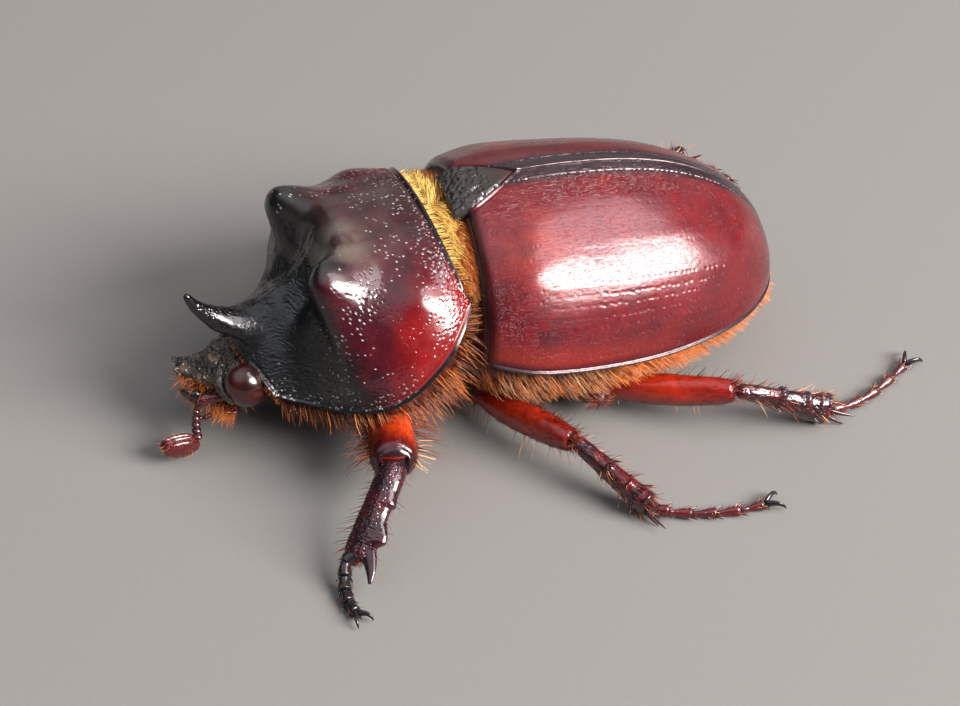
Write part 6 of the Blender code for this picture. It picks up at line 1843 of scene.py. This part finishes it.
def under_piece():
    t, a = np.meshgrid(np.linspace(0, 1, 90), np.linspace(math.pi, 2 * math.pi, 150), indexing="ij")
    P = under_surface(t, a)
    N = Skin(P, False, P.mean((0, 1))).N
    ang = (a - math.pi) / math.pi
    d = 0.06 * noise(P, 0.8, 101, 3) + 0.03 * noise(P, 0.3, 102, 2)
    # seams between the side plate, the middle plate and the lobe behind the front legs
    d -= 0.12 * bell(ang - 0.2 - 0.1 * t, 0.012) + 0.12 * bell(ang - 0.8 + 0.1 * t, 0.012)
    d += 0.35 * bell(ang - 0.5, 0.05) * bell(t - 0.12, 0.12) + 0.25 * bell(t - 0.93, 0.05)
    rng = np.random.default_rng(103)
    spots = P[rng.integers(3, 87, 900), rng.integers(2, 148, 900)]
    d -= dent(P, spots, rng.uniform(0.1, 0.2, 900), rng.uniform(0.03, 0.08, 900), 0.2)
    d *= step(ang, 0, 0.03) * step(ang, 1, 0.97)
    P = P + N * d[..., None]
    flat = np.linspace(0, 1, 24)[1:-1][None, :, None]
    top = P[:, -1:] * (1 - flat) + P[:, :1] * flat
    rings = np.concatenate([P, top], 1)
    tube_piece("prothorax_underside", pro_world(rings), M_BODY, "body_dark", ("prothorax_underside",))
    return Skin(pro_world(P), False, pro_world(P.mean((0, 1))))


UNDER = under_piece()


def core_low(s, b, inset=1.08):
    """Lower side of the body behind the waist: s along, b from pi (right) to 2 pi (left)."""
    f, g, m = elytra_profile(s)
    w = (ELYTRA_HALF_WIDTH - inset) * f
    d = belly_depth(s)
    e = 2.0 / 2.25
    return np.stack([w * np.sign(np.cos(b)) * np.abs(np.cos(b)) ** e, s * (ELYTRA_LENGTH - inset) + 0 * b, m - d * np.abs(np.sin(b)) ** e], -1)


def core_top(s, a, inset=1.08):
    f, g, m = elytra_profile(s)
    w, h = (ELYTRA_HALF_WIDTH - inset) * f, (ELYTRA_HEIGHT - inset) * g
    e = 2.0 / SECTION_POWER
    return np.stack([w * np.sign(np.cos(a)) * np.abs(np.cos(a)) ** e, s * (ELYTRA_LENGTH - inset) + 0 * a, m + h * np.clip(np.sin(a), 0, 1) ** e], -1)


def belly(name, s0, s1, n, shape, seed):
    s, b = np.meshgrid(np.linspace(s0, s1, n), np.linspace(math.pi, 2 * math.pi, 190), indexing="ij")
    P = core_low(s, b)
    N = Skin(P, False, P.mean((0, 1))).N
    q = (b - math.pi) / math.pi
    d, pits = shape(s, q, P)
    d = d + 0.05 * noise(P, 0.9, seed, 3) + 0.02 * noise(P, 0.3, seed + 1, 2)
    d -= dent(P, pits, *np.random.default_rng(seed).uniform((0.08, 0.02), (0.17, 0.06), (len(pits), 2)).T, 0.2)
    d *= step(q, 0, 0.02) * step(q, 1, 0.98)
    P = P + N * d[..., None]
    s2, a2 = np.meshgrid(np.linspace(s0, s1, n), np.linspace(0, math.pi, 90)[1:-1], indexing="ij")
    rings = np.concatenate([P, core_top(s2, a2)], 1)
    tube_piece(name, body_to_world(rings), M_BODY, "body_dark", (name,))
    return Skin(body_to_world(P), False, body_to_world(P.mean((0, 1))))


def chest_shape(s, q, P):
    rng = np.random.default_rng(111)
    d = -0.1 * bell(P[..., 0], 0.16) * step(s, 0.1, 0.16)
    for k in (0.24, 0.76):
        d -= 0.13 * bell(q - k - 0.12 * (s - 0.2) * (1 if k > 0.5 else -1), 0.009)
    d -= 0.12 * bell(s - 0.075, 0.006) * step(np.abs(q - 0.5), 0.47, 0.4)
    d += 0.3 * bell(P[..., 0], 1.0) * bell(s - 0.03, 0.03)
    i, j = rng.integers(2, s.shape[0] - 2, 1300), rng.integers(2, s.shape[1] - 2, 1300)
    return d, P[i, j]


def belly_shape(s, q, P):
    rng = np.random.default_rng(112)
    d = 0.0
    cuts = [0.40, 0.50, 0.585, 0.665, 0.745, 0.83, 0.93]
    rows = []
    for k, c in enumerate(cuts[1:-1]):
        bow = c - 0.012 * np.cos((q - 0.5) * math.pi) ** 2
        d = d + 0.13 * step(s, bow - 0.05, bow) * (s < bow) - 0.1 * bell(s - bow - 0.003, 0.005)
    for a_, b_ in zip(cuts[:-1], cuts[1:]):
        mid = a_ * 0.45 + b_ * 0.55
        for qq in np.linspace(0.03, 0.97, 70):
            i = int((mid + rng.normal(0, 0.002) - s[0, 0]) / (s[-1, 0] - s[0, 0]) * (s.shape[0] - 1))
            rows.append(P[min(max(i, 0), s.shape[0] - 1), int(qq * (s.shape[1] - 1))])
    i, j = rng.integers(2, s.shape[0] - 2, 500), rng.integers(2, s.shape[1] - 2, 500)
    return d, np.concatenate([np.array(rows), P[i, j]])


CHEST = belly("thorax_underside", 0.004, 0.398, 100, chest_shape, 121)
BELLY = belly("abdomen", 0.400, 0.932, 130, belly_shape, 123)


def tail_plate():
    s = 0.936 + 0.056 * np.sin(np.linspace(0, math.pi / 2, 40))
    a = np.linspace(0, math.pi, 110)
    rows = []
    for k in s:
        f, g, m = elytra_profile(k)
        w = (ELYTRA_HALF_WIDTH - 1.08) * f
        d = belly_depth(0.93) * math.sqrt(max(0.0, 1 - ((k - 0.93) / 0.066) ** 2)) + 0.05
        rows.append(np.stack([w * np.cos(a), 0 * a + k * (ELYTRA_LENGTH - 0.75), m - 0.12 - d * np.sin(a)], -1))
    P = np.array(rows)
    S = Skin(P, False, P[0].mean(0))
    dd = 0.04 * noise(P, 0.5, 131, 3)
    rng = np.random.default_rng(132)
    spots = P[rng.integers(1, 39, 420), rng.integers(1, 109, 420)]
    dd -= dent(P, spots, rng.uniform(0.08, 0.16, 420), rng.uniform(0.03, 0.06, 420), 0.2)
    P = P + S.N * dd[..., None]
    flat = np.linspace(0, 1, 30)[1:-1][None, :, None]
    rings = np.concatenate([P, P[:, -1:] * (1 - flat) + P[:, :1] * flat], 1)
    tube_piece("pygidium", body_to_world(rings), M_BODY, "body_dark", ("pygidium",))
    return Skin(body_to_world(P), False, body_to_world(P[0].mean(0)))


TAIL = tail_plate()


def collar_piece():
    m = 240
    a = np.linspace(0, 2 * math.pi, m, endpoint=False)
    up = a <= math.pi
    mx, my, mz = 7.75, 0.35, -1.0
    s = np.abs(np.sin(a))
    low = np.stack([(mx - 0.5) * np.cos(a), my + (LOW_Y[0] - my) * s ** 1.2, mz + (LOW_Z[0] - mz) * s], -1)
    ring = np.where(up[:, None], pronotum_base(np.zeros(m), np.clip(a, 0, math.pi)), low)
    mid = np.array([0.0, ring[:, 1].mean(), ring[:, 2].mean()])
    front = pro_world(mid + (ring - mid) * 0.78 + np.array([0, 0.62, 0]))
    c, sn = math.cos(BODY_PITCH), math.sin(BODY_PITCH)
    back = front.copy()
    back[:, 1] = (-0.08 + sn * front[:, 2]) / c
    back[:, 0] *= 1.04
    u = np.linspace(0, 1, 40)[:, None, None]
    P = front * (1 - u) + back * u
    ctr = P.mean(1, keepdims=True)
    out = unit(P - ctr)
    w = u[..., 0]
    d = 0.22 * np.sin(w * math.pi) + 0.07 * np.sin(w * 26 + 3 * noise(P, 2.2, 141)) * np.sin(w * math.pi) + 0.05 * noise(P, 0.5, 142, 2)
    P = P + out * d[..., None]
    gold = step(w, 0.55, 0.2) * np.ones(P.shape[:2])
    tube_piece("collar", P, M_SOFT, "body_dark", ("collar",), {"gold": gold})
    return Skin(P, True, None)


COLLAR = collar_piece()


# ---------------------------------------------------------------- the coat, zone by zone
RNG_H = np.random.default_rng(501)
DOWN = np.array((0.0, 0.0, -1.0))
BACK = np.array((0.0, 1.0, 0.0))


def side_of(P):
    return np.stack([np.sign(P[:, 0]), 0 * P[:, 0], 0 * P[:, 0]], -1)


# golden mat over the waist, combed back and down to the sides
n = 7000
v = RNG_H.beta(1.0, 1.0, n)
ang = np.where(RNG_H.uniform(size=n) < 0.86, RNG_H.uniform(-0.05, 0.55, n), RNG_H.uniform(0.55, 0.95, n))
u = RNG_H.beta(0.9, 1.25, n)
P, N, du, dv, uv = COLLAR.at(u, ang)
tangent = np.where(P[:, :1] > 0, 1, -1) * np.abs(dv)
around = dv * np.where((P[:, 0] * dv[:, 0]) >= 0, 1, -1)[:, None]
lift = RNG_H.uniform(0.15, 0.5, n)[:, None]
comb = noise(P, 0.9, 511, 2)[:, None]
D = du * (0.5 + 0.2 * comb) + around * (0.85 - 0.2 * comb) + N * lift + RNG_H.normal(0, 0.07, (n, 3))
low_end = step(np.minimum(ang, 0.5 - ang), 0.22, 0.07)
# painted shadow: paler by the pronotum, darker towards the wing cases that shade the mat; also darker towards its lower
# ends
tone = np.clip(1.45 - 2.5 * u - 1.1 * low_end + 0.3 * comb[:, 0] + RNG_H.normal(0, 0.38, n), 0, 1)
COAT_COLLAR.add(P, D, RNG_H.uniform(0.8, 1.8, n) * (1 - 0.35 * u), RNG_H.uniform(0.016, 0.03, n), tone, 0.12 * DOWN + around * 0.12, uv)

# fringe from under the hind edge of the pronotum, over the gap
n = 560
a = RNG_H.uniform(0.3, math.pi - 0.3, n)
edge_ = pronotum_base(np.zeros(n), a)
root = edge_ + np.stack([0 * a, -0.3 + 0 * a, -0.22 - RNG_H.uniform(0, 0.35, n)], -1) - np.stack([0.3 * np.cos(a), 0 * a, 0 * a], -1)
D = np.stack([0.35 * np.cos(a), 0.9 + 0 * a, -0.25 + 0 * a], -1) + RNG_H.normal(0, 0.09, (n, 3))
COAT_COLLAR.add(pro_world(root), pro_world(root + D) - pro_world(root), RNG_H.uniform(0.6, 1.2, n), RNG_H.uniform(0.016, 0.026, n),
                np.clip(RNG_H.normal(0.7, 0.35, n) - 0.85 * step(np.minimum(a, math.pi - a), 1.1, 0.35), 0, 1), 0.1 * DOWN,
                np.stack([0.02 + 0.9 * a / math.pi, 0.02 + 0 * a], -1))

# sides and edge of the prothorax underneath
for lo, hi, count in ((0.72, 0.995, 750), (0.005, 0.28, 650)):
    u, v = RNG_H.uniform(0.0, 0.98, count), RNG_H.uniform(lo, hi, count)
    P, N, du, dv, uv = UNDER.at(u, v)
    S = side_of(P)
    comb = noise(P, 1.2, 515, 2)[:, None]
    near = np.abs(v - 0.5)[:, None] * 2
    D = N * 0.55 + S * (0.35 + 0.3 * comb) + BACK * (0.35 + 0.35 * (1 - u[:, None])) + DOWN * 0.5 + RNG_H.normal(0, 0.16, (count, 3))
    COAT_UNDER.add(P, D, RNG_H.uniform(0.9, 2.5, count) * (1.15 - 0.5 * u), RNG_H.uniform(0.018, 0.03, count),
                   np.clip(0.2 + 0.4 * comb[:, 0] + RNG_H.normal(0, 0.25, count), 0, 1), DOWN * 0.2 + S * 0.05, uv * 0.5)
# shorter hairs under the middle
count = 1500
u, v = RNG_H.uniform(0.03, 0.95, count), RNG_H.uniform(0.28, 0.72, count)
P, N, du, dv, uv = UNDER.at(u, v)
COAT_UNDER.add(P, N * 0.5 + BACK * 0.8 + RNG_H.normal(0, 0.15, (count, 3)), RNG_H.uniform(0.5, 1.1, count), 0.02,
               RNG_H.uniform(0.1, 0.8, count), DOWN * 0.05, uv * 0.5)

# curtain from the hind rim of the prothorax, over the lower waist
RNG_W = np.random.default_rng(611)
count = 1500
u, v = RNG_W.uniform(0.0, 0.06, count), RNG_W.uniform(0.01, 0.99, count)
P, N, du, dv, uv = UNDER.at(u, v)
COAT_UNDER.add(P - N * 0.05, BACK + N * 0.1 + RNG_W.normal(0, 0.08, (count, 3)), RNG_W.uniform(1.0, 1.9, count),
               RNG_W.uniform(0.018, 0.03, count), np.clip(RNG_W.normal(0.2, 0.25, count), 0, 1), DOWN * 0.06, uv * 0.5)

# chest: dense, combed in curved rows at the sides
for lo, hi, count in ((0.74, 0.985, 1250), (0.015, 0.26, 1050)):
    u, v = RNG_H.uniform(0.0, 1.0, count), RNG_H.uniform(lo, hi, count)
    P, N, du, dv, uv = CHEST.at(u, v)
    S = side_of(P)
    rows = noise(P * (1, 1, 0.25), 0.45, 521, 2)[:, None]
    D = N * 0.5 + DOWN * 0.6 + BACK * (0.1 + 0.25 * rows) + S * 0.2 + RNG_H.normal(0, 0.07, (count, 3))
    COAT_UNDER.add(P + rows * 0.1 * BACK, D, RNG_H.uniform(0.6, 1.5, count), RNG_H.uniform(0.015, 0.026, count),
                   np.clip(0.22 + 0.65 * rows[:, 0] + RNG_H.normal(0, 0.28, count), 0, 1), BACK * 0.3 - S * 0.25 + DOWN * 0.1, uv * 0.5 + (0.5, 0))
for lo, hi, count in ((0.8, 0.975, 210), (0.025, 0.2, 130)):
    u, v = RNG_H.uniform(0.1, 1.0, count), RNG_H.uniform(lo, hi, count)
    P, N, du, dv, uv = CHEST.at(u, v)
    S = side_of(P)
    D = N * 0.5 + DOWN * 0.7 + BACK * 0.4 + S * 0.15 + RNG_H.normal(0, 0.07, (count, 3))
    COAT_PALE.add(P, D, RNG_H.uniform(1.1, 2.0, count), 0.022, RNG_H.uniform(0.2, 1, count), BACK * 0.2 - S * 0.1, uv * 0.5 + (0.5, 0))
count = 1500
u, v = RNG_H.uniform(0.05, 1.0, count), RNG_H.uniform(0.26, 0.74, count)
P, N, du, dv, uv = CHEST.at(u, v)
COAT_UNDER.add(P, N * 0.4 + BACK * 0.9 + RNG_H.normal(0, 0.12, (count, 3)), RNG_H.uniform(0.4, 0.9, count), 0.018,
               RNG_H.uniform(0.1, 0.8, count), DOWN * 0.05, uv * 0.5 + (0.5, 0))

# belly: golden hairs along its sides, a row on each plate below
for lo, hi, count in ((0.84, 0.99, 1500), (0.01, 0.16, 1200)):
    u, v = RNG_H.uniform(0.0, 1.0, count), RNG_H.uniform(lo, hi, count)
    P, N, du, dv, uv = BELLY.at(u, v)
    S = side_of(P)
    comb = noise(P, 1.0, 531, 2)[:, None]
    D = N * 0.5 + BACK * 0.7 + DOWN * 0.35 + RNG_H.normal(0, 0.12, (count, 3))
    COAT_UNDER.add(P, D, RNG_H.uniform(0.7, 1.6, count), RNG_H.uniform(0.016, 0.026, count),
                   np.clip(0.55 + 0.4 * comb[:, 0] + RNG_H.normal(0, 0.25, count), 0, 1), DOWN * 0.08, uv * 0.5 + (0.0, 0.5))
cuts = [0.40, 0.50, 0.585, 0.665, 0.745, 0.83, 0.93]
for a_, b_ in zip(cuts[:-1], cuts[1:]):
    mid = (a_ * 0.45 + b_ * 0.55 - 0.4) / 0.532
    v = RNG_H.uniform(0.08, 0.92, 190)
    P, N, du, dv, uv = BELLY.at(np.clip(mid + RNG_H.normal(0, 0.006, 190), 0, 1), v)
    COAT_UNDER.add(P, N * 0.5 + BACK * 0.8 + RNG_H.normal(0, 0.1, (190, 3)), RNG_H.uniform(0.6, 1.2, 190), 0.02,
                   RNG_H.uniform(0.3, 0.9, 190), DOWN * 0.05, uv * 0.5 + (0.0, 0.5))

# fringe round the last plate
count = 1500
u, v = RNG_H.beta(1, 2, count), RNG_H.uniform(0.0, 1.0, count)
P, N, du, dv, uv = TAIL.at(u, v)
S = side_of(P)
D = N * 0.6 + BACK * 0.6 + DOWN * 0.2 + S * 0.1 + RNG_H.normal(0, 0.16, (count, 3))
COAT_UNDER.add(P, D, RNG_H.uniform(0.7, 1.6, count), RNG_H.uniform(0.016, 0.026, count), np.clip(RNG_H.normal(0.6, 0.3, count), 0, 1),
               DOWN * 0.15, uv * 0.5 + (0.5, 0.5))

# front edge of the prothorax, over the head
count = 620
a = RNG_H.uniform(-0.28, math.pi + 0.28, count)
t = np.full(count, 1.0)
P0 = pronotum_base(t, np.clip(a, 0, math.pi))
P0[:, 2] -= np.abs(np.clip(a, 0, math.pi) - a) * 3.0
C0 = np.array((0.0, -14.5, -1.6))
out = unit(P0 - C0)
root = P0 * 0.97 + C0 * 0.03 + (0, 0.25, 0)
D = np.array((0.0, -0.8, 0.0)) + out * 0.15 + np.array((0, 0, -0.4)) + RNG_H.normal(0, 0.14, (count, 3))
tips = pro_world(root + D) - pro_world(root)
COAT_HEAD.add(pro_world(root), tips, RNG_H.uniform(0.3, 0.7, count), RNG_H.uniform(0.012, 0.02, count), RNG_H.uniform(0.1, 1, count),
              DOWN * 0.1, np.stack([0.05 + 0.4 * (a + 0.3) / 3.8, 0.1 + 0.0 * a], -1))

# brush round the mouth, hairs on the cheeks and under the head
def on_head(y, ang, grow=0.0):
    out = []
    for k, q in zip(y, ang):
        r = head_ring(k, 64, grow)
        out.append(r[int(q * 64) % 64])
    return np.array(out)


def head_hairs(count, ys, angs, length, radius, aim, tone, coat, spread=0.18, uv0=(0.5, 0.0)):
    y, q = RNG_H.uniform(*ys, count), RNG_H.uniform(*angs, count)
    p = on_head(y, q)
    c = np.stack([0 * y, y, np.array([(head_ring(k, 16)[:, 2].max() + head_ring(k, 16)[:, 2].min()) / 2 for k in y])], -1)
    o = unit(p - c)
    d = o * 0.6 + np.array(aim) + RNG_H.normal(0, spread, (count, 3))
    w = head_world(p)
    coat.add(w, head_world(p + d) - w, RNG_H.uniform(*length, count), RNG_H.uniform(0.8, 1.2, count) * radius, RNG_H.uniform(*tone, count),
             DOWN * 0.08, np.stack([uv0[0] + 0.45 * (y + 4.4) / 6.4, uv0[1] + 0.45 * q], -1))


head_hairs(300, (-4.1, -2.2), (0.52, 0.98), (0.8, 2.1), 0.018, (0, -0.8, -0.5), (0.0, 0.9), COAT_HEAD, 0.5)
head_hairs(90, (-2.2, 1.2), (0.55, 0.95), (0.4, 0.9), 0.016, (0, -0.3, -0.4), (0.0, 0.5), COAT_HEAD, 0.3)
head_hairs(90, (-4.2, -1.2), (-0.03, 0.06), (0.3, 0.8), 0.014, (0.3, -0.4, 0.0), (0.0, 0.8), COAT_HEAD, 0.35)
head_hairs(90, (-4.2, -1.2), (0.44, 0.53), (0.3, 0.8), 0.014, (-0.3, -0.4, 0.0), (0.0, 0.8), COAT_HEAD, 0.35)

# mouthparts
count = 420
y = RNG_H.uniform(-4.3, -2.0, count)
q = RNG_H.uniform(0, 2 * math.pi, count)
kk = [-4.2, -3.8, -3.2, -2.6, -1.9]
w_, zt, zb = (interp(y, kk, x) for x in ([0.7, 1.0, 1.35, 1.6, 1.5], [0.9, 0.2, -0.9, -1.9, -2.5], [-0.3, -1.3, -2.4, -3.1, -3.4]))
p = np.stack([w_ * np.cos(q), y, (zt + zb) / 2 + (zt - zb) / 2 * np.sin(q)], -1)
d = np.stack([np.cos(q), 0 * q - 0.7, np.sin(q) * 0.8], -1) + RNG_H.normal(0, 0.2, (count, 3))
COAT_HEAD.add(head_world(p), head_world(p + d) - head_world(p), RNG_H.uniform(0.5, 1.5, count), 0.019, RNG_H.uniform(0.2, 1, count), DOWN * 0.06,
              np.stack([0.05 + 0.4 * (y + 4.4) / 2.4, 0.55 + 0.4 * q / 6.3], -1))

# clubs of the feelers
for k, (r, name_) in enumerate(ANT_HAIR):
    S = Skin(pro_world(r), True, None, (0.55 + 0.14 * (k % 3), 0.55 + 0.2 * (k // 3), 0.13))
    u, v = RNG_H.uniform(0.08, 0.97, 80), RNG_H.uniform(0, 1, 80)
    P, N, du, dv, uv = S.at(u, v)
    COAT_HEAD.add(P, N * 0.9 + du * 0.5 + RNG_H.normal(0, 0.15, (80, 3)), RNG_H.uniform(0.18, 0.42, 80), 0.01, RNG_H.uniform(0.4, 1, 80), (0, 0, 0), uv)

for coat_ in (COAT_COLLAR, COAT_UNDER, COAT_LEGS, COAT_PALE, COAT_HEAD):
    coat_.build()


# ---------------------------------------------------------------- camera, floor and light
def to_row(v):
    return Vector(tuple(place(v)))


CAM_AT = (138.93515851, -41.45774563, 121.29640401)
RIGHT = Vector((0.30281895, 0.9530481, 0.0))
UPWARD = Vector((-0.62932027, 0.19995854, 0.75098108))
AHEAD = Vector((-0.71572109, 0.2274113, -0.66032372))
cam_data = bpy.data.cameras.new("camera")
cam_data.sensor_width = 36.0
cam_data.lens = 2596.614 * 36.0 / 960.0
cam_data.clip_start, cam_data.clip_end = 0.01, 10.0
camera = bpy.data.objects.new("camera", cam_data)
bpy.context.scene.collection.objects.link(camera)
camera.matrix_world = Matrix((
    (RIGHT.x, UPWARD.x, -AHEAD.x, 0), (RIGHT.y, UPWARD.y, -AHEAD.y, 0), (RIGHT.z, UPWARD.z, -AHEAD.z, 0), (0, 0, 0, 1)))
camera.location = to_row(CAM_AT)
bpy.context.scene.camera = camera

floor_mesh = bpy.data.meshes.new("floor")
floor_mesh.from_pydata([(-1.5, -1.5, 0), (1.5, -1.5, 0), (1.5, 1.5, 0), (-1.5, 1.5, 0)], [], [(0, 1, 2, 3)])
floor = bpy.data.objects.new("floor", floor_mesh)
bpy.context.scene.collection.objects.link(floor)
floor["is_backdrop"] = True
fm = Mat("floor_pale", Roughness=0.9, Specular_IOR_Level=0.15)
fm.colour(fm.ramp(fm.noise(3.0, 2), [(0.3, (0.16, 0.153, 0.144)), (0.7, (0.165, 0.158, 0.149))]))
floor_mesh.materials.append(fm.mat)


def lamp(name, direction, distance, size, power, colour=(1, 1, 1), size_y=None, turn=0.0):
    """Area light shining at the beetle's middle from the given direction."""
    data = bpy.data.lights.new(name, "AREA")
    data.shape = "ELLIPSE" if size_y else "DISK"
    data.size = size
    if size_y:
        data.size_y = size_y
    data.energy = power
    data.color = colour
    ob = bpy.data.objects.new(name, data)
    bpy.context.scene.collection.objects.link(ob)
    d = Vector(direction).normalized()
    ob.location = d * distance + Vector((0, 0, 0.008))
    ob.rotation_mode = "QUATERNION"
    ob.rotation_quaternion = d.to_track_quat("Z", "Y") @ Quaternion((0, 0, 1), math.radians(turn))
    return ob


lamp("key", (0.6, 0.6, 0.525), 0.6, 0.46, 12.8, (1.0, 0.97, 0.94), 0.28, -31.0)
lamp("haze", (0.2, 0.5, 0.84), 0.6, 0.34, 2.1, (1.0, 0.9, 0.95))
for i, (size, power) in enumerate(((1.5, 2.3), (1.1, 1.3), (0.7, 0.45))):      # nested, for a soft edge
    lamp("sky_%d" % i, (0.1, -0.36, 0.92), 0.8 + 0.01 * i, size, power, (0.88, 0.93, 1.0))
lamp("far_sky", (-0.72, 0.23, 0.66), 0.8, 1.0, 1.15, (1.0, 0.95, 0.93))

world = bpy.data.worlds.new("studio")
world.use_nodes = True
bg = world.node_tree.nodes["Background"]
bg.inputs["Color"].default_value = (0.78, 0.84, 0.92, 1)
bg.inputs["Strength"].default_value = 0.08
bpy.context.scene.world = world
bpy.context.scene.view_settings.view_transform = "Standard"


# ---------------------------------------------------------------- sizes of the solids and of the visible model
low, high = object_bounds()
({"cad": [[float(x) for x in c] for c in CAD_BOX],
           "visual": [[float(x) for x in low], [float(x) for x in high]]})
